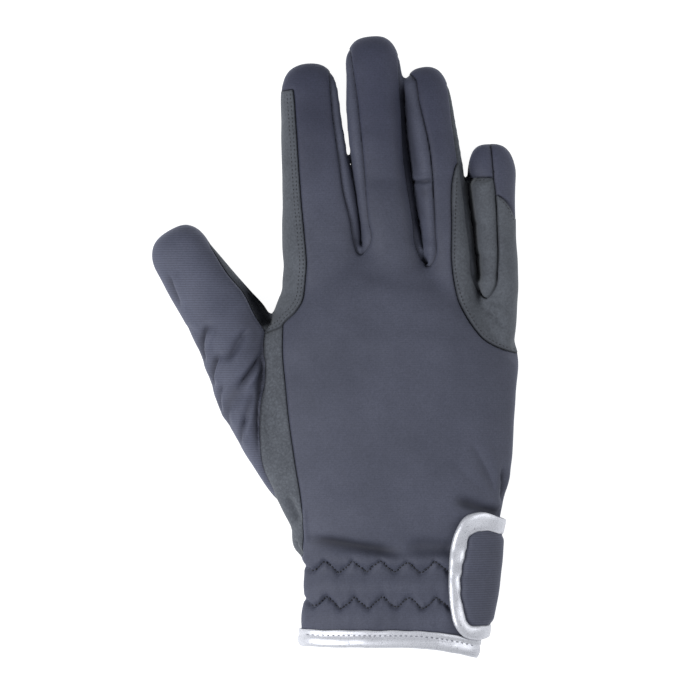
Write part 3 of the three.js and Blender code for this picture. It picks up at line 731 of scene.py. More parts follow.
folds = {
    "thumbUpper": stroke([(-56.5, 30.5), (-61.0, 24.0), (-66.0, 15.5)], 1.6, 1.5, lip=0.5, shade=0.45),
    "thumbStrong": stroke([(-50.5, 21.0), (-56.0, 13.5), (-61.5, 5.0)], 1.4, 2.6, lip=0.5, shade=0.85),
    "thumbLower": stroke([(-54.5, 7.0), (-57.5, -1.0), (-59.5, -9.0)], 1.6, 0.9, lip=0.4, shade=0.4),
    "thumbRoot": stroke(
        [(-50.0, 30.0), (-51.8, 13.0), (-53.3, -2.0), (-54.3, -24.0)], 1.9, 1.7, shade=0.9, within="thumb",
    ),
    "thumbRootShade": stroke(
        [(-58.0, 40.0), (-56.0, 30.0), (-54.0, 23.0), (-52.5, 10.0)], 4.4, 0.0, shade=0.45, within="thumb",
    ),
    "thumbLowShade": stroke(
        [(-57.0, 12.0), (-62.5, 4.5), (-66.0, -2.0), (-67.0, -9.0)], 2.6, 0.0, shade=0.42, within="thumb",
    ),
    "thumbHighFold": stroke(
        [(-71.0, 32.0), (-74.5, 26.5), (-75.3, 20.5), (-73.5, 14.5)], 1.5, 2.1, lip=0.8, shade=0.75,
    ),
    "thumbLowFold": stroke(
        [(-67.5, 20.5), (-70.7, 14.8), (-71.8, 10.0), (-70.5, 5.5)], 1.4, 2.1, lip=0.8, shade=0.7,
    ),
    "thumbBaseFold": stroke([(-62.5, 2.0), (-65.5, -3.0), (-64.5, -10.0)], 1.4, 1.0, lip=0.8, shade=0.4),
    "thumbBaseRidge": stroke([(-61.0, -1.0), (-60.3, -9.0), (-58.5, -17.0)], 1.7, -0.8),
    "thumbSideFold": stroke([(-88.5, 51.0), (-86.4, 44.5), (-83.0, 36.0)], 1.4, 1.4, lip=0.7, shade=0.5),
    "thumbMidFold": stroke([(-66.5, 9.0), (-69.0, 3.0), (-68.0, -4.5)], 1.3, 1.3, lip=0.6, shade=0.4),
    "thumbEndFold": stroke([(-58.0, -3.0), (-59.8, -9.5), (-60.6, -16.5)], 1.2, 1.4, lip=0.5, shade=0.5),
    "thumbDent": stroke([(-82.0, 31.0), (-78.0, 28.0), (-74.5, 26.5)], 1.5, 0.7, lip=0.4),
    "gussetPucker": stroke([(-44.0, -33.0), (-41.0, -39.5), (-38.5, -46.0)], 2.0, 2.4, shade=0.3),
    "gussetFold": stroke([(-36.5, -37.0), (-36.0, -45.0), (-35.0, -53.0)], 0.9, -0.9),
    "gussetTuck": stroke([(-41.0, -50.0), (-38.5, -55.0), (-36.0, -58.0)], 1.3, 1.6, lip=0.4),
    "wristFold": stroke(
        [(-38.0, -50.0), (-26.0, -51.4), (-14.0, -53.4), (-5.0, -55.0), (4.0, -57.5)], 2.1, 1.5, shade=0.95,
    ),
    "wristCrease": stroke([(-22.0, -47.0), (-8.0, -48.5), (6.0, -51.0)], 1.6, 0.35),
    "aboveTab": stroke([(19.0, -34.5), (30.0, -38.4), (42.0, -42.5)], 2.2, 2.0, shade=0.85),
    "tabFoldOne": stroke([(26.0, -12.0), (32.5, -24.0), (37.5, -37.0)], 2.2, 1.1, lip=0.6),
    "tabFoldTwo": stroke([(18.0, -20.0), (28.0, -29.0), (36.5, -38.0)], 2.0, 0.5, lip=0.5),
    "tabFoldThree": stroke([(38.5, -22.0), (39.0, -31.0), (39.0, -39.0)], 1.4, 1.6, lip=0.5, shade=0.4),
    "besideTab": stroke([(1.0, -52.0), (12.0, -53.5), (24.0, -54.5)], 3.0, 1.6, shade=0.4),
    "underWebs": stroke(
        [(-21.0, 53.5), (-13.0, 50.5), (-4.0, 48.0), (5.0, 47.5), (13.0, 46.5), (20.0, 42.0)], 3.8, 0.8,
    ),
    "underLittle": stroke([(31.5, 40.0), (36.0, 38.6), (40.5, 38.2)], 0.9, 0.9, lip=0.5),
    "underLittleLow": stroke([(31.0, 39.0), (35.5, 33.5), (41.5, 28.0)], 1.6, 1.3, lip=0.6),
    "beneathRein": stroke([(20.0, 44.0), (24.0, 36.0), (30.0, 28.5)], 2.6, 0.6),
    "ringCross": stroke([(3.5, 85.3), (8.5, 84.7), (13.0, 85.3)], 1.0, 1.3, lip=0.5, shade=0.75),
    "ringCrossShade": stroke([(2.0, 83.5), (7.5, 81.5), (12.5, 78.5)], 2.6, 0.0, shade=0.4),
    "ringStripShade": stroke(
        [(2.4, 124.0), (3.6, 112.0), (4.7, 101.0), (6.0, 91.0), (7.0, 82.0)], 1.5, 0.0, shade=0.75,
    ),
    "ringStripLowShade": stroke([(5.6, 86.0), (7.0, 79.0), (9.2, 68.0)], 1.7, 0.0, shade=0.6),
    "littleStripShade": stroke(
        [(26.4, 96.0), (27.6, 84.0), (28.9, 70.0), (29.8, 58.0), (31.2, 46.0)], 1.8, 0.0, shade=0.72,
    ),
    "ringBend": stroke([(11.0, 85.5), (17.0, 86.5), (24.0, 84.5)], 2.4, 0.3),
    "middleBend": stroke([(-18.0, 104.5), (-10.0, 106.0), (0.0, 104.5)], 3.0, 0.3),
    "middleCreaseLow": stroke([(-14.0, 84.0), (-6.0, 86.0), (3.0, 84.0)], 2.4, 0.25),
    "indexBend": stroke([(-38.0, 96.5), (-32.0, 98.5), (-25.0, 97.0)], 3.0, 0.3),
    "indexShade": stroke([(-31.0, 80.0), (-34.0, 100.0), (-36.0, 124.0)], 7.0, 0.0, shade=0.2),
    "indexLowBend": stroke([(-37.0, 64.0), (-28.0, 61.0), (-20.0, 62.5)], 3.4, 0.35),
    "littleCrease": stroke([(29.0, 84.8), (33.0, 85.4), (36.0, 86.6)], 0.7, 0.7, lip=0.4),
    "littleBend": stroke([(27.5, 70.0), (33.0, 68.5), (37.5, 70.5)], 1.4, 0.6, lip=0.4),
    "littleBendLow": stroke([(28.0, 58.0), (33.0, 56.5), (37.0, 58.0)], 1.4, 0.5, lip=0.4),
}

# Clefts where two fingers touch: a narrow cut that goes down between them, in plan in millimetres. The cloth
# beside the cut also gets painted shade in its colour.
clefts = {
    "indexMiddle": {
        "path": [(-19.9, 99.0), (-18.6, 91.0), (-16.5, 78.0), (-15.0, 66.0), (-14.6, 59.5)],
        "wide": 0.75, "bottom": 4.5, "shoulder": 2.2, "deep": 1.8,
    },
    "middleRing": {
        "path": [(1.5, 124.0), (2.6, 104.0), (4.6, 88.0), (6.6, 73.0), (9.0, 58.5)],
        "wide": 0.85, "bottom": 4.5, "shoulder": 3.4, "deep": 3.0,
    },
    "ringLittle": {
        "path": [(24.4, 95.0), (25.4, 88.0), (27.4, 74.0), (29.0, 59.0), (30.4, 46.0)],
        "wide": 1.6, "bottom": 3.6, "shoulder": 2.4, "deep": 1.0,
    },
    "thumbWeb": {
        "path": [(-65.0, 53.0), (-59.5, 45.5), (-55.0, 38.5), (-52.0, 33.0), (-50.6, 29.0)],
        "wide": 2.6, "bottom": 5.0, "shoulder": 4.0, "deep": 1.5, "start": 0.6, "beyond": "thumbBack",
    },
}


def cleftDepth(points, normals, cleft):
    path = smoothPath(cleft["path"], 6)
    distance, _, share = pathDistance(points[:, :2], path, cleft["shoulder"] * 3)
    ends = fadeIn(share, 0.0, cleft.get("start", 0.12)) * (1 - fadeIn(share, 0.92, 1.0))
    if "beyond" in cleft:
        ends *= fadeIn(fields[cleft["beyond"]](points), -0.4, 0.1)
    upper = fadeIn(points[:, 2], 4.0, 7.0) * fadeIn(normals[:, 2], -0.2, 0.2) * ends
    shoulder = np.exp(-(distance / cleft["shoulder"]) ** 2) * cleft["deep"]
    left = points[:, 2] - shoulder - cleft["bottom"]
    narrow = np.exp(-(distance / cleft["wide"]) ** 4)
    # Painted shade on the cloth beside the cut
    dark = upper * np.exp(-(distance / (1.6 * cleft["wide"])) ** 2)
    return upper * (shoulder + narrow * np.maximum(left, 0)), dark


def foldParts(plan, fold):
    path = smoothPath(fold["path"], 6)
    distance, side, share = pathDistance(plan, path, fold["wide"] * 4)
    ends = fadeIn(share, 0.0, 0.3) * (1 - fadeIn(share, 0.7, 1.0))
    if fold["within"]:
        ends = ends * fadeIn(-fields[fold["within"]](plan), 0.0, 0.8)
    dip = np.exp(-(distance / fold["wide"]) ** 2)
    # Painted shade: the colour is darkened along the fold's bottom
    shade = fold["shade"] * ends * dip
    if fold["lip"]:
        dip = 0.5 * dip + 0.5 * np.exp(-distance / (0.45 * fold["wide"]))
    signed = distance * side
    lip = np.exp(-((signed - 1.7 * fold["wide"]) / fold["wide"]) ** 2) * fold["lip"] * 0.6
    return fold["deep"] * ends * (lip - dip), shade


def ripples(points, length, seed, count=7):
    draws = np.random.default_rng(seed)
    total = np.zeros(len(points))
    for _ in range(count):
        direction = draws.normal(size=3)
        direction *= 2 * math.pi / length / np.linalg.norm(direction) * draws.uniform(0.7, 1.4)
        total += np.sin(points @ direction + draws.uniform(0, 2 * math.pi))
    return total / math.sqrt(count)


# Elastic gathers of the cuff: two zigzag rows of stitches, with the cloth puffed between them
gathers = {
    "rows": ({"y": -60.9, "peak": -7.6}, {"y": -74.4, "peak": -6.9}),
    "pitch": 10.35, "height": 4.6, "wide": 0.95, "deep": 0.95, "puff": 0.9, "left": -33.5, "right": 19.0,
    "hemY": -85.0, "topY": -50.0, "ribPitch": 5.2, "rib": 0.10,
}


def zigzagY(row, x):
    turn = (np.asarray(x) - row["peak"]) / gathers["pitch"]
    zig = np.abs(2 * (turn - np.floor(turn + 0.5))) * 2 - 1
    zig = zig - 0.25 * np.maximum(zig - 0.5, 0)
    uneven = 0.3 * np.sin(turn * 2.1 + row["y"]) + 0.18 * np.sin(turn * 17.0)
    return row["y"] - zig * gathers["height"] / 2 + uneven


def gatherHeight(points, upward):
    x, y = points[:, 0], points[:, 1]
    first, second = (zigzagY(row, x) for row in gathers["rows"])
    lines = [np.full(len(x), gathers["topY"]), first, second, np.full(len(x), gathers["hemY"])]
    puff = np.zeros(len(x))
    for high, low in zip(lines[:-1], lines[1:]):
        share = np.clip((high - y) / (high - low), 0, 1)
        puff += np.sin(math.pi * share) ** 0.8 * gathers["puff"]
    pinch = sum(np.exp(-((y - line) / gathers["wide"]) ** 2) for line in (first, second))
    deeper = 1 + 0.7 * np.exp(-((x + 30) / 4) ** 2)
    ribs = np.sin(2 * math.pi * x / gathers["ribPitch"]) * gathers["rib"]
    for line in (first, second):
        ribs += np.sin(2 * math.pi * x / 2.6) * 0.3 * np.exp(-((y - line) / 2.2) ** 2)
    inCuff = 1 - fadeIn(y, gathers["topY"] - 8, gathers["topY"])
    upper = puff * 0.8 - pinch * gathers["deep"] * deeper + ribs * 0.5
    under = np.sin(2 * math.pi * x / 6.3 + np.sin(y / 4)) * 0.3
    roundness = fadeIn(upward, -0.3, 0.35)
    return inCuff * (upper * (0.35 + 0.65 * roundness) + under * (1 - roundness) * 0.6)


# Unevenness of the whole skin, in millimetres
unevenness = ({"length": 34, "seed": 5, "height": 0.22}, {"length": 13, "seed": 6, "height": 0.07})


def surfaceHeight(points, normals):
    plan = points[:, :2]
    upward = normals[:, 2]
    onTop = np.clip(upward * 3 + 0.3, 0, 1)
    height = gatherHeight(points, upward)
    # The second result is painted shade, how much the colour is darkened in the folds' bottoms
    shade = np.zeros(len(points))
    for fold in folds.values():
        rise, dark = foldParts(plan, fold)
        height += rise * onTop
        shade = np.maximum(shade, dark * onTop)
    for wave in unevenness:
        height += ripples(points, wave["length"], wave["seed"]) * wave["height"]
    return height * np.clip(points[:, 2] / 2, 0, 1), shade


# Painted shade: the colour is darkened in fold bottoms, where the surface sinks, and between the fingers
skinHeight, skinPaintedShade = surfaceHeight(skinPoints, skinNormals)
skinPaintedShade = np.maximum(skinPaintedShade, 0.5 * fadeIn(-skinHeight, 0.5, 3.0))
skinSink = np.zeros(len(skinPoints))
for cleft in clefts.values():
    depth, dark = cleftDepth(skinPoints, skinNormals, cleft)
    skinSink = np.maximum(skinSink, depth)
    skinPaintedShade = np.maximum(skinPaintedShade, dark)
print("stage: folds worked out,", len(folds))


# Materials
def nodeMaker(name):
    material = bpy.data.materials.new(name)
    material.use_nodes = True
    tree = material.node_tree
    shader = tree.nodes["Principled BSDF"]

    def add(kind, settings=None, **values):
        node = tree.nodes.new(kind)
        for key, value in (settings or {}).items():
            setattr(node, key, value)
        for key, value in values.items():
            node.inputs[key].default_value = value
        return node

    def link(source, target):
        tree.links.new(source, target)

    return material, shader, add, link


def srgb(red, green, blue):
    def channel(value):
        value /= 255
        return value / 12.92 if value <= 0.04045 else ((value + 0.055) / 1.055) ** 2.4

    return (channel(red), channel(green), channel(blue), 1.0)


# Colour that the dark seam lines and the painted shade of folds and clefts are mixed towards
seamAndShadeTone = (11, 13, 25)


# Darkens the colour by the mesh's seam attribute: dark seam lines, partly painted shade of their grooves, and
# painted shade in folds and clefts
def darkenedSeamsAndPaintedShade(add, link, colour, shader, strength):
    seam = add("ShaderNodeAttribute", {"attribute_name": "seam"})
    amount = add("ShaderNodeMath", {"operation": "MULTIPLY"})
    amount.inputs[1].default_value = strength
    mix = add("ShaderNodeMix", {"data_type": "RGBA", "blend_type": "MIX"})
    mix.inputs["B"].default_value = srgb(*seamAndShadeTone)
    link(seam.outputs["Fac"], amount.inputs[0])
    link(amount.outputs[0], mix.inputs["Factor"])
    link(colour, mix.inputs["A"])
    link(mix.outputs["Result"], shader.inputs["Base Color"])


def blended(add, link, amount, dark, light):
    ramp = add("ShaderNodeValToRGB")
    ramp.color_ramp.elements[0].color = dark
    ramp.color_ramp.elements[1].color = light
    link(amount, ramp.inputs["Fac"])
    return ramp


def bumped(add, link, height, shader, strength, depth):
    bump = add("ShaderNodeBump", Strength=strength, Distance=depth * mm)
    link(height, bump.inputs["Height"])
    link(bump.outputs["Normal"], shader.inputs["Normal"])


# fingertipShade, paleTo and darkFrom paint shade on the fingertips: the colour darkens towards them, from
# paleTo to darkFrom along y
softshellLook = {
    "dark": (52, 55, 68), "light": (66, 69, 83), "patchSize": 0.030, "rib": 0.12,
    "paleTo": 0.060, "darkFrom": 0.118, "fingertipShade": (0.70, 0.71, 0.84, 1.0),
    "roughness": 0.74, "sheen": 0.22, "sheenTint": (176, 184, 214), "seamAndShadeDark": 0.88,
}


def softshellFinish(name, ribPitch, ribTint, shadeTips=1.0, tone=1.0):
    look = softshellLook
    material, shader, add, link = nodeMaker(name)
    place = add("ShaderNodeTexCoord").outputs["Object"]
    clouds = add("ShaderNodeTexNoise", Scale=1 / look["patchSize"], Detail=4.0, Roughness=0.6)
    link(place, clouds.inputs["Vector"])
    # tone lightens the whole colour: the lighter thumb and strip copies are painted light
    dark = srgb(*(value * tone for value in look["dark"]))
    light = srgb(*(value * tone for value in look["light"]))
    colour = blended(add, link, clouds.outputs["Fac"], dark, light)
    colour.color_ramp.elements[0].position = 0.25
    colour.color_ramp.elements[1].position = 0.75
    ribs = add("ShaderNodeTexWave", {"bands_direction": "Y"}, Scale=0.05 / ribPitch * 2 * math.pi)
    ribs.inputs["Distortion"].default_value = 0.6
    ribs.inputs["Detail"].default_value = 1.0
    link(place, ribs.inputs["Vector"])
    grain = add("ShaderNodeTexNoise", Scale=1500.0, Detail=3.0, Roughness=0.8)
    link(place, grain.inputs["Vector"])
    weave = add("ShaderNodeMath", {"operation": "MULTIPLY_ADD"})
    link(ribs.outputs["Fac"], weave.inputs[0])
    weave.inputs[1].default_value = ribTint
    link(grain.outputs["Fac"], weave.inputs[2])
    tint = add("ShaderNodeMix", {"data_type": "RGBA", "blend_type": "MULTIPLY"})
    tint.inputs["Factor"].default_value = 0.75
    shade = blended(add, link, weave.outputs[0], (0.55, 0.55, 0.57, 1), (1.25, 1.25, 1.25, 1))
    shade.color_ramp.elements[0].position = 0.25 + ribTint * 0.3
    shade.color_ramp.elements[1].position = 0.75 + ribTint * 0.7
    link(colour.outputs["Color"], tint.inputs["A"])
    link(shade.outputs["Color"], tint.inputs["B"])
    # Painted shade: the colour is multiplied by fingertipShade towards the fingertips, scaled by shadeTips
    axes = add("ShaderNodeSeparateXYZ")
    link(place, axes.inputs["Vector"])
    reach = add("ShaderNodeMapRange", {"interpolation_type": "SMOOTHSTEP"})
    reach.inputs["To Max"].default_value = shadeTips
    reach.inputs["From Min"].default_value = look["paleTo"]
    reach.inputs["From Max"].default_value = look["darkFrom"]
    link(axes.outputs["Y"], reach.inputs["Value"])
    fingertipPaintedShade = add("ShaderNodeMix", {"data_type": "RGBA", "blend_type": "MULTIPLY"})
    link(reach.outputs["Result"], fingertipPaintedShade.inputs["Factor"])
    link(tint.outputs["Result"], fingertipPaintedShade.inputs["A"])
    fingertipPaintedShade.inputs["B"].default_value = look["fingertipShade"]
    # The seam lines and the painted shade of folds and clefts darken the colour here
    darkenedSeamsAndPaintedShade(add, link, fingertipPaintedShade.outputs["Result"], shader, look["seamAndShadeDark"])
    bumped(add, link, weave.outputs[0], shader, 0.35, look["rib"])
    shader.inputs["Roughness"].default_value = look["roughness"]
    shader.inputs["Specular IOR Level"].default_value = 0.35
    shader.inputs["Sheen Weight"].default_value = look["sheen"]
    shader.inputs["Sheen Roughness"].default_value = 0.45
    shader.inputs["Sheen Tint"].default_value = srgb(*look["sheenTint"])
    return material


suedeLook = {
    "dark": (59, 62, 68), "light": (80, 84, 91), "patchSize": 0.012, "grainSize": 0.0009,
    "pebbleSize": 0.0015, "roughness": 0.9, "sheen": 0.2, "seamAndShadeDark": 0.68,
}


def suedeFinish(name, pebbled):
    look = suedeLook
    material, shader, add, link = nodeMaker(name)
    place = add("ShaderNodeTexCoord").outputs["Object"]
    clouds = add("ShaderNodeTexNoise", Scale=1 / look["patchSize"], Detail=5.0, Roughness=0.65)
    link(place, clouds.inputs["Vector"])
    grain = add("ShaderNodeTexNoise", Scale=1 / look["grainSize"], Detail=4.0, Roughness=0.7)
    link(place, grain.inputs["Vector"])
    mixed = add("ShaderNodeMath", {"operation": "MULTIPLY_ADD"})
    link(grain.outputs["Fac"], mixed.inputs[0])
    mixed.inputs[1].default_value = 0.6
    halved = add("ShaderNodeMath", {"operation": "MULTIPLY"})
    halved.inputs[1].default_value = 0.4
    link(clouds.outputs["Fac"], halved.inputs[0])
    link(halved.outputs[0], mixed.inputs[2])
    colour = blended(add, link, mixed.outputs[0], srgb(*look["dark"]), srgb(*look["light"]))
    colour.color_ramp.elements[0].position = 0.36
    colour.color_ramp.elements[1].position = 0.64
    pebbles = add("ShaderNodeTexVoronoi", {"feature": "DISTANCE_TO_EDGE"}, Scale=1 / look["pebbleSize"])
    link(place, pebbles.inputs["Vector"])
    domes = add("ShaderNodeMapRange")
    domes.inputs["From Max"].default_value = 0.22
    link(pebbles.outputs["Distance"], domes.inputs["Value"])
    lined = add("ShaderNodeMix", {"data_type": "RGBA", "blend_type": "MULTIPLY"})
    lined.inputs["Factor"].default_value = pebbled
    link(colour.outputs["Color"], lined.inputs["A"])
    lines = blended(add, link, domes.outputs["Result"], (0.60, 0.60, 0.62, 1), (1.06, 1.06, 1.06, 1))
    link(lines.outputs["Color"], lined.inputs["B"])
    # The seam lines and the painted shade of folds and clefts darken the colour here
    darkenedSeamsAndPaintedShade(add, link, lined.outputs["Result"], shader, look["seamAndShadeDark"])
    relief = add("ShaderNodeMath", {"operation": "MULTIPLY_ADD"})
    link(domes.outputs["Result"], relief.inputs[0])
    relief.inputs[1].default_value = pebbled
    link(grain.outputs["Fac"], relief.inputs[2])
    bumped(add, link, relief.outputs[0], shader, 0.6, 0.16)
    shader.inputs["Roughness"].default_value = look["roughness"]
    shader.inputs["Specular IOR Level"].default_value = 0.25
    shader.inputs["Sheen Weight"].default_value = look["sheen"]
    shader.inputs["Sheen Roughness"].default_value = 0.6
    shader.inputs["Sheen Tint"].default_value = srgb(190, 196, 200)
    return material


silverLook = {"dark": (134, 136, 144), "light": (196, 198, 205), "crackSize": 0.0006, "roughness": 0.34}


def silverFinish():
    look = silverLook
    material, shader, add, link = nodeMaker("silver_foil")
    place = add("ShaderNodeTexCoord").outputs["Object"]
    cracks = add("ShaderNodeTexVoronoi", {"feature": "DISTANCE_TO_EDGE"}, Scale=1 / look["crackSize"])
    link(place, cracks.inputs["Vector"])
    lines = add("ShaderNodeMapRange")
    lines.inputs["From Max"].default_value = 0.10
    link(cracks.outputs["Distance"], lines.inputs["Value"])
    clouds = add("ShaderNodeTexNoise", Scale=420.0, Detail=3.0, Roughness=0.5)
    link(place, clouds.inputs["Vector"])
    both = add("ShaderNodeMath", {"operation": "MULTIPLY"})
    link(lines.outputs["Result"], both.inputs[0])
    link(clouds.outputs["Fac"], both.inputs[1])
    colour = blended(add, link, both.outputs[0], srgb(*look["dark"]), srgb(*look["light"]))
    colour.color_ramp.elements[0].position = 0.0
    colour.color_ramp.elements[1].position = 0.28
    link(colour.outputs["Color"], shader.inputs["Base Color"])
    gloss = add("ShaderNodeMapRange")
    gloss.inputs["To Min"].default_value = look["roughness"] + 0.2
    gloss.inputs["To Max"].default_value = look["roughness"] - 0.06
    link(clouds.outputs["Fac"], gloss.inputs["Value"])
    link(gloss.outputs["Result"], shader.inputs["Roughness"])
    bumped(add, link, both.outputs[0], shader, 0.3, 0.05)
    shader.inputs["Metallic"].default_value = 0.5
    return material


def threadFinish(name, colour, roughness=0.6):
    material, shader, add, link = nodeMaker(name)
    place = add("ShaderNodeTexCoord").outputs["Object"]
    twist = add("ShaderNodeTexNoise", Scale=3500.0, Detail=2.0)
    link(place, twist.inputs["Vector"])
    shade = tuple(value * 0.7 for value in srgb(*colour)[:3]) + (1.0,)
    tone = blended(add, link, twist.outputs["Fac"], shade, srgb(*colour))
    link(tone.outputs["Color"], shader.inputs["Base Color"])
    bumped(add, link, twist.outputs["Fac"], shader, 0.3, 0.05)
    shader.inputs["Roughness"].default_value = roughness
    return material


def pileFinish():
    material, shader, add, link = nodeMaker("loop_pile")
    place = add("ShaderNodeTexCoord").outputs["Object"]
    loops = add("ShaderNodeTexVoronoi", {"feature": "F1"}, Scale=1400.0)
    link(place, loops.inputs["Vector"])
    tone = blended(add, link, loops.outputs["Distance"], srgb(30, 31, 36), srgb(74, 76, 84))
    link(tone.outputs["Color"], shader.inputs["Base Color"])
    bumped(add, link, loops.outputs["Distance"], shader, 0.8, 0.25)
    shader.inputs["Roughness"].default_value = 0.95
    return material


finishes = {
    "softshell": softshellFinish("softshell_knit", 0.0007, 0.10),
    "ribbed": softshellFinish("softshell_ribbed", 0.00088, 0.38),
    # A lighter copy of the softshell for the thumb: painted light
    "thumbClothPaintedLight": softshellFinish("softshell_thumb_painted_light", 0.00088, 0.38, tone=1.11),
    # A lighter copy for the finger strips, with little fingertip shade: painted light on their sides
    "stripClothPaintedLight": softshellFinish("softshell_strips_painted_light", 0.0007, 0.10, shadeTips=0.1, tone=1.09),
    "suede": suedeFinish("suede_nap", 0.12),
    "pebbled": suedeFinish("suede_pebbled", 0.45),
    "silver": silverFinish(),
    "pad": pileFinish(),
    "darkThread": threadFinish("dark_thread", (16, 17, 24)),
    "suedeThread": threadFinish("suede_thread", (34, 36, 42)),
    "silverThread": threadFinish("silver_thread", (118, 120, 130), 0.45),
}
print("stage: materials made,", len(finishes))


def rimEdges(faces, count):
    pairs = np.vstack([faces[:, [0, 1]], faces[:, [1, 2]], faces[:, [2, 0]]])
    keys = pairs[:, 0] * count + pairs[:, 1]
    return pairs[~np.isin(keys, pairs[:, 1] * count + pairs[:, 0])]


# A panel with its own thickness, closed round its rim
def thickPanel(name, points, normals, faces, thick, finish):
    count = len(points)
    inner = points - normals * thick
    inner[:, 2] = np.maximum(inner[:, 2], 0.05)
    a, b = rimEdges(faces, count).T
    sides = np.vstack([np.stack([b, a, a + count], 1), np.stack([b, a + count, b + count], 1)])
    allFaces = np.vstack([faces, faces[:, ::-1] + count, sides])
    piece = newObject(name, np.vstack([points, inner]), allFaces)
    piece.data.materials.append(finish)
    piece.data.shade_smooth()
    piece.data.set_sharp_from_angle(angle=math.radians(55))
    return piece


# Moves a panel's rim inwards by its share of the seam's gap
def drawnBack(points, faces, gap):
    count = len(points)
    rim = np.unique(rimEdges(faces, count))
    number = np.bincount(faces.ravel(), minlength=count)
    inward = summedAt(faces, points[faces].mean(1), count) / number[:, None] - points
    inward /= np.maximum(np.linalg.norm(inward, axis=1, keepdims=True), 1e-9)
    points = points.copy()
    gap = np.broadcast_to(gap, (count,))
    points[rim] += inward[rim] * gap[rim, None]
    return points


outerSkins = []
# seamLine sets the dark line along each seam, partly the seam's own colour and partly painted shade of its
# groove, faded out near the cuff
seamLine = {"wide": 0.36, "cuffFrom": -60, "cuffTo": -36}
gapUnder = 0.08  # share of the gap that stays on the underside


def sewnPanel(name, look, finish):
    node = look["node"]
    faces = skinFaces[panelOfFace == node]
    used, faces = np.unique(faces, return_inverse=True)
    faces = faces.reshape(-1, 3)
    border = skinBorder[used]
    normals = skinNormals[used]
    facing = np.clip(normals[:, 2] * 1.6, 0, 1)
    dip = look["seamDip"] * np.exp(-(border / look["seamWide"]) ** 2) * (0.15 + 0.85 * facing)
    pillow = look.get("pillow", 0) * (1 - np.exp(-(border / 2.0) ** 2)) * facing
    height = skinHeight[used] + look["raised"] + pillow - dip
    points = skinPoints[used] + normals * height[:, None]
    points[:, 2] -= skinSink[used]
    openShare = gapUnder + (1 - gapUnder) * fadeIn(normals[:, 2], -0.3, 0.3)
    points = drawnBack(points, faces, look["gap"] * openShare)
    points[:, 2] = np.maximum(points[:, 2], 0.02)
    piece = thickPanel(name, points, normals, faces, look["thick"], finish)
    # Attribute for the colour: the dark seam line, partly painted shade of its groove, and the painted shade
    # of folds and clefts
    seam = piece.data.attributes.new("seam", "FLOAT", "POINT")
    line = np.exp(-(border / seamLine["wide"]) ** 2)
    line *= fadeIn(points[:, 1], seamLine["cuffFrom"], seamLine["cuffTo"])
    seam.data.foreach_set("value", np.tile(np.maximum(line, skinPaintedShade[used]), 2).astype(np.float32))
    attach(piece, "root")
    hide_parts(node)
    outerSkins.append((points, faces))
    print("piece:", name, len(piece.data.polygons), "triangles")


backPanel = {"node": "back_panel", "raised": 0.0, "seamDip": 0.8, "seamWide": 0.75, "gap": 0.12, "thick": 1.0}
sewnPanel("back_panel_cloth", backPanel, finishes["softshell"])

palmPanel = {"node": "palm_panel", "raised": 0.0, "seamDip": 0.45, "seamWide": 1.0, "gap": 0.1, "thick": 1.0}
sewnPanel("palm_panel_suede", palmPanel, finishes["pebbled"])

indexPatch = {
    "node": "index_patch", "raised": 0.2, "seamDip": 0.25, "seamWide": 0.8, "gap": 0.08, "thick": 1.1,
}
sewnPanel("index_patch_suede", indexPatch, finishes["suede"])

reinPatch = {
    "node": "rein_patch", "raised": 0.2, "seamDip": 0.25, "seamWide": 0.8, "gap": 0.08, "thick": 1.1,
}
sewnPanel("rein_patch_suede", reinPatch, finishes["suede"])

thumbBack = {"node": "thumb_back", "raised": 0.0, "seamDip": 0.8, "seamWide": 1.0, "gap": 0.1, "thick": 1.0}
sewnPanel("thumb_back_cloth", thumbBack, finishes["thumbClothPaintedLight"])

thumbFront = {"node": "thumb_front", "raised": 0.0, "seamDip": 0.5, "seamWide": 1.1, "gap": 0.1, "thick": 1.0}
sewnPanel("thumb_front_suede", thumbFront, finishes["pebbled"])

stripLook = {"raised": -0.2, "pillow": 1.4, "seamDip": 0.9, "seamWide": 0.9, "gap": 0.12, "thick": 1.0}
# Two softshell strips use the lighter copy, which is painted light
for stripNode, stripFinish, stripSlot in (
    ("fourchette_index_middle", "stripClothPaintedLight", "softshell"),
    ("fourchette_middle_ring", "stripClothPaintedLight", "softshell"),
    ("fourchette_ring_little", "suede", "suede"),
):
    sewnPanel(stripNode + "_strip", {**stripLook, "node": stripNode}, finishes[stripFinish])

littleSide = {
    "node": "little_side", "raised": 0.0, "pillow": 0.8, "seamDip": 0.45, "seamWide": 0.9,
    "gap": 0.1, "thick": 1.0,
}
sewnPanel("little_side_cloth", littleSide, finishes["softshell"])

littleBack = {"node": "little_back", "raised": 0.0, "seamDip": 0.8, "seamWide": 0.9, "gap": 0.1, "thick": 1.0}
sewnPanel("little_back_cloth", littleBack, finishes["softshell"])


# Silver binding folded over the hem, open at the slit
hemBinding = {
    "node": "cuff_binding", "band": 5.7, "inside": 4.2, "over": 1.3, "lip": 0.75, "lining": -1.3,
    "openAngle": 17.0, "turnSteps": 300, "stitchRow": 3.9, "wobble": 0.08,
    "endRings": ((0.92, 0.25), (0.7, 0.5), (0.35, 0.62)),
}


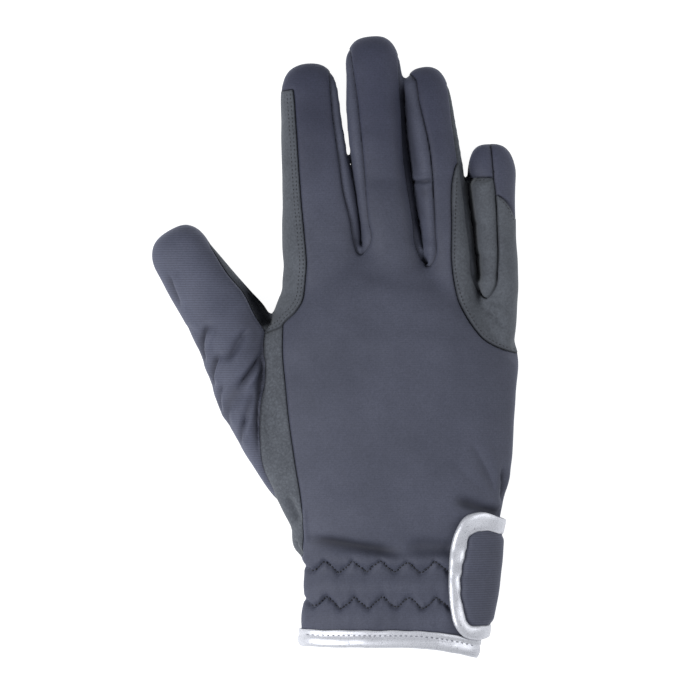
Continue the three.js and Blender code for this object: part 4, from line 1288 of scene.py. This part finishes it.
def hemProfile():
    look = hemBinding
    outside = [(0.35, look["band"]), (0.95, look["band"] + 0.15), (look["over"], look["band"] - 0.7)]
    outside += [(look["over"] - 0.25, look["stitchRow"]), (look["over"] + 0.3, look["stitchRow"] - 1.6)]
    outside += [(look["over"] + 0.2, 0.4), (look["over"] - 0.5, -look["lip"] * 0.8), (0.0, -look["lip"])]
    under = look["lining"]
    inside = [(under * 0.6, -look["lip"] * 0.95), (under - 0.55, -0.6), (under - 0.7, look["inside"] * 0.6)]
    inside += [(under - 0.35, look["inside"]), (under + 0.05, look["inside"] - 0.1)]
    lining = [(under + 0.15, 0.5), (-0.5, -0.35), (0.2, 0.2), (0.28, look["band"] * 0.5)]
    return smoothPath(outside + inside + lining + outside[:1], 4)[:-1]


# Rings that close the binding at the slit, each smaller and further out
def bindingEnd(rings, end, neighbour):
    ahead = rings[end] - rings[neighbour]
    ahead /= np.linalg.norm(ahead, axis=1, keepdims=True)
    middle = rings[end].mean(0)
    offset = rings[end] - middle
    return [middle + offset * size + ahead * travel for size, travel in hemBinding["endRings"]]


def makeHemBinding():
    look = hemBinding
    profile = hemProfile()
    opening = math.radians(look["openAngle"])
    turns = np.linspace(opening, 2 * math.pi - opening, look["turnSteps"])
    columns = [palmRing(-1 + reach / hand["cuffLength"], over, turns) for over, reach in profile]
    rings = np.stack(columns, 1)
    rings = np.concatenate([bindingEnd(rings, 0, 1)[::-1], rings, bindingEnd(rings, -1, -2)])
    wobble = ripples(rings.reshape(-1, 3), 9, 11).reshape(rings.shape[:2]) * look["wobble"]
    outward = rings - rings.mean(1, keepdims=True)
    outward /= np.maximum(np.linalg.norm(outward, axis=2, keepdims=True), 1e-9)
    rings = rings + outward * wobble[:, :, None]
    rings[:, :, 2] = np.maximum(rings[:, :, 2], 0.3)
    points, faces = closedLoft(rings)
    piece = newObject("cuff_binding_foil", points, faces)
    piece.data.flip_normals()
    piece.data.materials.append(finishes["silver"])
    piece.data.shade_smooth()
    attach(piece, "root")
    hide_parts("cuff_binding")
    outerSkins.append((points, faces))


makeHemBinding()
print("stage: hem bound")

# Closing tab: cloth with a rolled silver rim, wrapped over the outer edge of the cuff
tabOutline = [
    (0.60, 0.122), (0.449, 0.134), (0.342, 0.160), (0.278, 0.148), (0.235, 0.102), (0.214, 0.050),
    (0.205, -0.118), (0.205, -0.353), (0.214, -0.588), (0.235, -0.788), (0.269, -0.894),
    (0.321, -0.941), (0.376, -0.918), (0.60, -0.835),
]
tabInner = [
    (0.60, 0.066), (0.444, 0.084), (0.333, 0.099), (0.300, 0.090), (0.280, 0.045), (0.261, -0.059),
    (0.252, -0.235), (0.256, -0.412), (0.268, -0.612), (0.281, -0.706), (0.300, -0.757),
    (0.335, -0.768), (0.397, -0.765), (0.60, -0.720),
]
tab = {
    "spacing": 0.5, "from": -1.05, "to": 0.24, "stand": 2.35, "ringSteps": 340, "reachTurn": 125.0,
    "calmRounds": 40, "unevenRim": 0.16, "gap": 0.08,
}
tabCloth = {"node": "tab_panel", "pillow": 1.0, "pillowWide": 1.4, "thick": 0.9}
tabRim = {
    "node": "tab_binding", "roll": 1.2, "rollRight": 0.45, "rollWide": 2.2, "rollFrom": 24, "rollTo": 36,
    "thick": 0.6, "flat": 0.15,
}


def tabSheet():
    reach = math.radians(tab["reachTurn"])
    turns = np.linspace(-reach, reach, tab["ringSteps"])
    low = np.arange(tab["from"], 0, tab["spacing"] / hand["cuffLength"])
    high = np.arange(0, tab["to"], tab["spacing"] / hand["palmLength"])
    rings = np.stack([palmRing(along, tab["stand"], turns) for along in [*low, *high]])
    faces = ringGrid(rings, closed=False)
    points = rings.reshape(-1, 3)
    edges, _ = edgesOf(faces, len(points))
    points = calmed(points, edges, tab["calmRounds"], 0.5)
    outerField = outlineField(smoothPath(corners(*tabOutline), 8))
    evenField = outlineField(smoothPath(corners(*tabInner), 8))

    def innerField(found):
        return evenField(found) + tab["unevenRim"] * ripples(found, 5, 17)

    points, faces = splitAlong(points, faces, outerField)
    points, faces = splitAlong(points, faces, innerField)
    inOuter = outerField(points)[faces].mean(1) < 0
    inInner = innerField(points)[faces].mean(1) < 0
    normals = normalsOf(points, faces)
    if normals[np.argmax(points[:, 2])][2] < 0:
        faces = faces[:, ::-1]
        normals = -normals
    names = np.where(inInner, "tab_panel", np.where(inOuter, "tab_binding", "open"))
    return points, faces, normals, names


def makeTab():
    points, faces, normals, names = tabSheet()
    border = borderDistance(points, faces, names)
    pieces = (
        ("tab_panel_cloth", tabCloth, "ribbed", "softshell"),
        ("tab_binding_foil", tabRim, "silver", "silver"),
    )
    for name, look, finishName, slotName in pieces:
        own = faces[names == look["node"]]
        used, own = np.unique(own, return_inverse=True)
        own = own.reshape(-1, 3)
        away = border[used]
        if look is tabRim:
            share = np.clip(away / look["rollWide"], 0, 1)
            toRight = fadeIn(points[used][:, 0], look["rollFrom"], look["rollTo"])
            roll = look["roll"] + (look["rollRight"] - look["roll"]) * toRight
            height = look["flat"] + roll * np.sqrt(1 - (1 - share) ** 2)
            height += ripples(points[used], 8, 21) * 0.03
        else:
            height = look["pillow"] * (1 - np.exp(-(away / look["pillowWide"]) ** 2))
        placed = points[used] + normals[used] * height[:, None]
        placed = drawnBack(placed, own, tab["gap"])
        placed[:, 2] = np.maximum(placed[:, 2], 0.05)
        thick = look["thick"] + height
        piece = thickPanel(name, placed, normals[used], own, thick[:, None], finishes[finishName])
        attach(piece, "root")
        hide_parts(look["node"])
        outerSkins.append((placed, own))
        print("piece:", name, len(piece.data.polygons), "triangles")


makeTab()

# Fastener pad under the tab
fastener = {
    "node": "tab_fastener", "left": 0.275, "right": 0.332, "top": -0.05, "bottom": -0.60,
    "low": 0.45, "high": 1.6, "steps": 40, "uneven": 0.12,
}


def makeFastener():
    look = fastener
    edges = corners((look["left"], look["bottom"]), (look["right"], look["top"]))
    xs = np.linspace(edges[0][0], edges[1][0], look["steps"])
    alongs = np.linspace(look["bottom"], look["top"], look["steps"] * 2)
    turns = np.linspace(0.02, math.pi / 2, 400)
    rows = []
    for along in alongs:
        base = palmRing(along, look["high"], turns)
        order = np.argsort(base[:, 0])
        rows.append(np.stack([
            xs, np.interp(xs, base[order, 0], base[order, 1]), np.interp(xs, base[order, 0], base[order, 2]),
        ], 1))
    grid = np.stack(rows)
    faces = ringGrid(grid, closed=False)
    points = grid.reshape(-1, 3)
    normals = normalsOf(points, faces)
    if normals[:, 2].mean() < 0:
        faces = faces[:, ::-1]
        normals = -normals
    draws = np.random.default_rng(31)
    points = points + normals * draws.uniform(-look["uneven"], look["uneven"], (len(points), 1))
    thick = look["high"] - look["low"]
    piece = thickPanel("tab_fastener_pile", points, normals, faces, thick, finishes["pad"])
    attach(piece, "root")
    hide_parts(look["node"])


makeFastener()
print("stage: tab closed")

# Stitches: each is a short thread that rises from the surface and dips back into it
thread = {"sides": 6, "rings": 5, "sink": 0.16}
allPoints = np.vstack([points for points, _ in outerSkins])
starts = np.cumsum([0] + [len(points) for points, _ in outerSkins[:-1]])
allFaces = np.vstack([faces + start for (_, faces), start in zip(outerSkins, starts)])
skinTree = BVHTree.FromPolygons(allPoints.tolist(), allFaces.tolist())


def onSurface(plan):
    hit, normal, _, _ = skinTree.ray_cast(Vector((plan[0], plan[1], 80.0)), Vector((0, 0, -1)))
    if hit is None:
        return None, None
    if normal.z < 0:
        normal = -normal
    return np.array(hit), np.array(normal)


def spaced(path, pitch, start=0.0):
    path = np.asarray(path, float)
    lengths = np.concatenate([[0], np.cumsum(np.linalg.norm(np.diff(path, axis=0), axis=1))])
    at = np.arange(start, lengths[-1], pitch)
    return np.stack([np.interp(at, lengths, path[:, k]) for k in range(2)], 1)


def stitchMesh(ends, radius, rise):
    points = []
    faces = []
    turns = np.linspace(0, 2 * math.pi, thread["sides"], endpoint=False)
    for start, end, normal in ends:
        ahead = end - start
        ahead /= np.linalg.norm(ahead)
        beside = np.cross(normal, ahead)
        rings = []
        for share in np.linspace(0, 1, thread["rings"]):
            bow = math.sin(math.pi * share)
            lift = rise * bow - thread["sink"] * (1 - bow)
            size = radius * (0.55 + 0.45 * bow ** 0.5)
            centre = start + (end - start) * share + normal * lift
            rings.append(centre + size * (
                np.cos(turns)[:, None] * beside + np.sin(turns)[:, None] * np.cross(ahead, beside)
            ))
        ring, own = closedLoft(np.stack(rings))
        faces.append(own + len(points) * len(ring))
        points.append(ring)
    return np.vstack(points), np.vstack(faces)


def stitchRow(path, pitch, share=0.68):
    found = []
    for start, end in zip(spaced(path, pitch), spaced(path, pitch, pitch * share)):
        low, normalLow = onSurface(start)
        high, normalHigh = onSurface(end)
        if low is None or high is None or np.linalg.norm(high - low) > pitch * 1.6:
            continue
        normal = normalLow + normalHigh
        found.append((low, high, normal / np.linalg.norm(normal)))
    return found


def sewnThreads(name, look, rows, finish):
    ends = [stitch for row in rows for stitch in row]
    points, faces = stitchMesh(ends, look["radius"], look["rise"])
    piece = newObject(name, points, faces)
    piece.data.flip_normals()
    piece.data.materials.append(finishes[finish])
    piece.data.shade_smooth()
    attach(piece, "root")
    print("piece:", name, len(ends), "stitches")


def beside(path, distance):
    path = np.asarray(path, float)
    ahead = np.gradient(path, axis=0)
    ahead /= np.linalg.norm(ahead, axis=1, keepdims=True)
    return path + np.stack([-ahead[:, 1], ahead[:, 0]], 1) * distance


patchStitches = {"radius": 0.16, "rise": 0.08, "pitch": 1.5, "insets": (1.0, 2.3)}
reinStitches = {"radius": 0.17, "rise": 0.10, "pitch": 1.5, "inset": 1.0}
littleStitches = {"radius": 0.14, "rise": 0.08, "pitch": 1.5, "inset": 0.9}
gatherStitches = {"radius": 0.27, "rise": 0.28, "pitch": 1.35, "share": 0.72, "spacing": 0.25}
hemStitches = {"radius": 0.22, "rise": 0.12, "pitch": 1.95, "share": 0.6, "left": -0.40, "right": 0.31}


def patchThreads():
    look = patchStitches
    side = seamPoints(fingers["index"], "seamLeft", 0.85, -0.10, 40)
    border = smoothPath([*side[::3], *corners(*seams["patchEnd"])], 6)
    return [stitchRow(beside(border, -inset), look["pitch"]) for inset in look["insets"]]


def reinThreads():
    border = smoothPath(corners(*seams["rein"][2:-1]), 8)
    return [stitchRow(beside(border, reinStitches["inset"]), reinStitches["pitch"])]


def littleThreads():
    look = littleStitches
    tip = smoothPath(corners(*seams["littleTip"]), 8)
    cross = smoothPath(corners((0.300, 1.218), (0.345, 1.222), (0.395, 1.236)), 8)
    return [stitchRow(beside(tip, -look["inset"]), look["pitch"]), stitchRow(cross, look["pitch"])]


def gatherThreads():
    look = gatherStitches
    xs = np.arange(gathers["left"], gathers["right"], look["spacing"])
    lines = [np.stack([xs, zigzagY(row, xs)], 1) for row in gathers["rows"]]
    return [stitchRow(line, look["pitch"], look["share"]) for line in lines]


def hemThreads():
    look = hemStitches
    across = np.linspace(look["left"], look["right"], 60)
    y = handY(-1 + hemBinding["stitchRow"] / hand["cuffLength"]) - hemDropAt(across)
    return [stitchRow(np.stack([handX(across), y], 1), look["pitch"], look["share"])]


sewnThreads("index_patch_stitches", patchStitches, patchThreads(), "suedeThread")
sewnThreads("rein_patch_stitches", reinStitches, reinThreads(), "suedeThread")
sewnThreads("little_finger_stitches", littleStitches, littleThreads(), "suedeThread")
sewnThreads("cuff_gather_stitches", gatherStitches, gatherThreads(), "darkThread")
sewnThreads("hem_stitches", hemStitches, hemThreads(), "silverThread")
print("stage: stitches sewn")

# Floor and light
studio = {
    "floorSize": 4.0, "floorDrop": 0.0002, "floorTone": (140, 141, 143), "floorGlow": 0.94,
    "sky": 0.42, "skyTone": (0.96, 0.97, 1.0),
}
lamps = {
    "key": {"place": (-0.36, -0.16, 0.42), "size": 0.30, "power": 3.7},
    "fill": {"place": (0.60, 0.10, 0.40), "size": 0.5, "power": 2.4},
}


def makeStudio():
    size = studio["floorSize"] / 2
    drop = -studio["floorDrop"]
    mesh = bpy.data.meshes.new("floor")
    square = [(-size, -size, drop), (size, -size, drop), (size, size, drop), (-size, size, drop)]
    mesh.from_pydata(square, [], [(0, 1, 2, 3)])
    floor = bpy.data.objects.new("floor", mesh)
    bpy.context.collection.objects.link(floor)
    material, shader, add, link = nodeMaker("pale_floor")
    shader.inputs["Base Color"].default_value = srgb(*studio["floorTone"])
    shader.inputs["Roughness"].default_value = 0.9
    shader.inputs["Emission Color"].default_value = (1.0, 1.0, 1.0, 1.0)
    shader.inputs["Emission Strength"].default_value = studio["floorGlow"]
    floor.data.materials.append(material)
    world = bpy.data.worlds.new("studio")
    bpy.context.scene.world = world
    world.use_nodes = True
    background = world.node_tree.nodes["Background"]
    background.inputs["Color"].default_value = (*studio["skyTone"], 1)
    background.inputs["Strength"].default_value = studio["sky"]
    for name, look in lamps.items():
        light = bpy.data.lights.new(name, "AREA")
        light.shape = "DISK"
        light.size = look["size"]
        light.energy = look["power"]
        lamp = bpy.data.objects.new(name, light)
        lamp.location = look["place"]
        aim = Vector((view["overX"] * mm, 0, 0)) - lamp.location
        lamp.rotation_euler = aim.to_track_quat("-Z", "Y").to_euler()
        bpy.context.collection.objects.link(lamp)
    bpy.context.scene.view_settings.view_transform = "Standard"


makeStudio()

print("stage: scene ready")
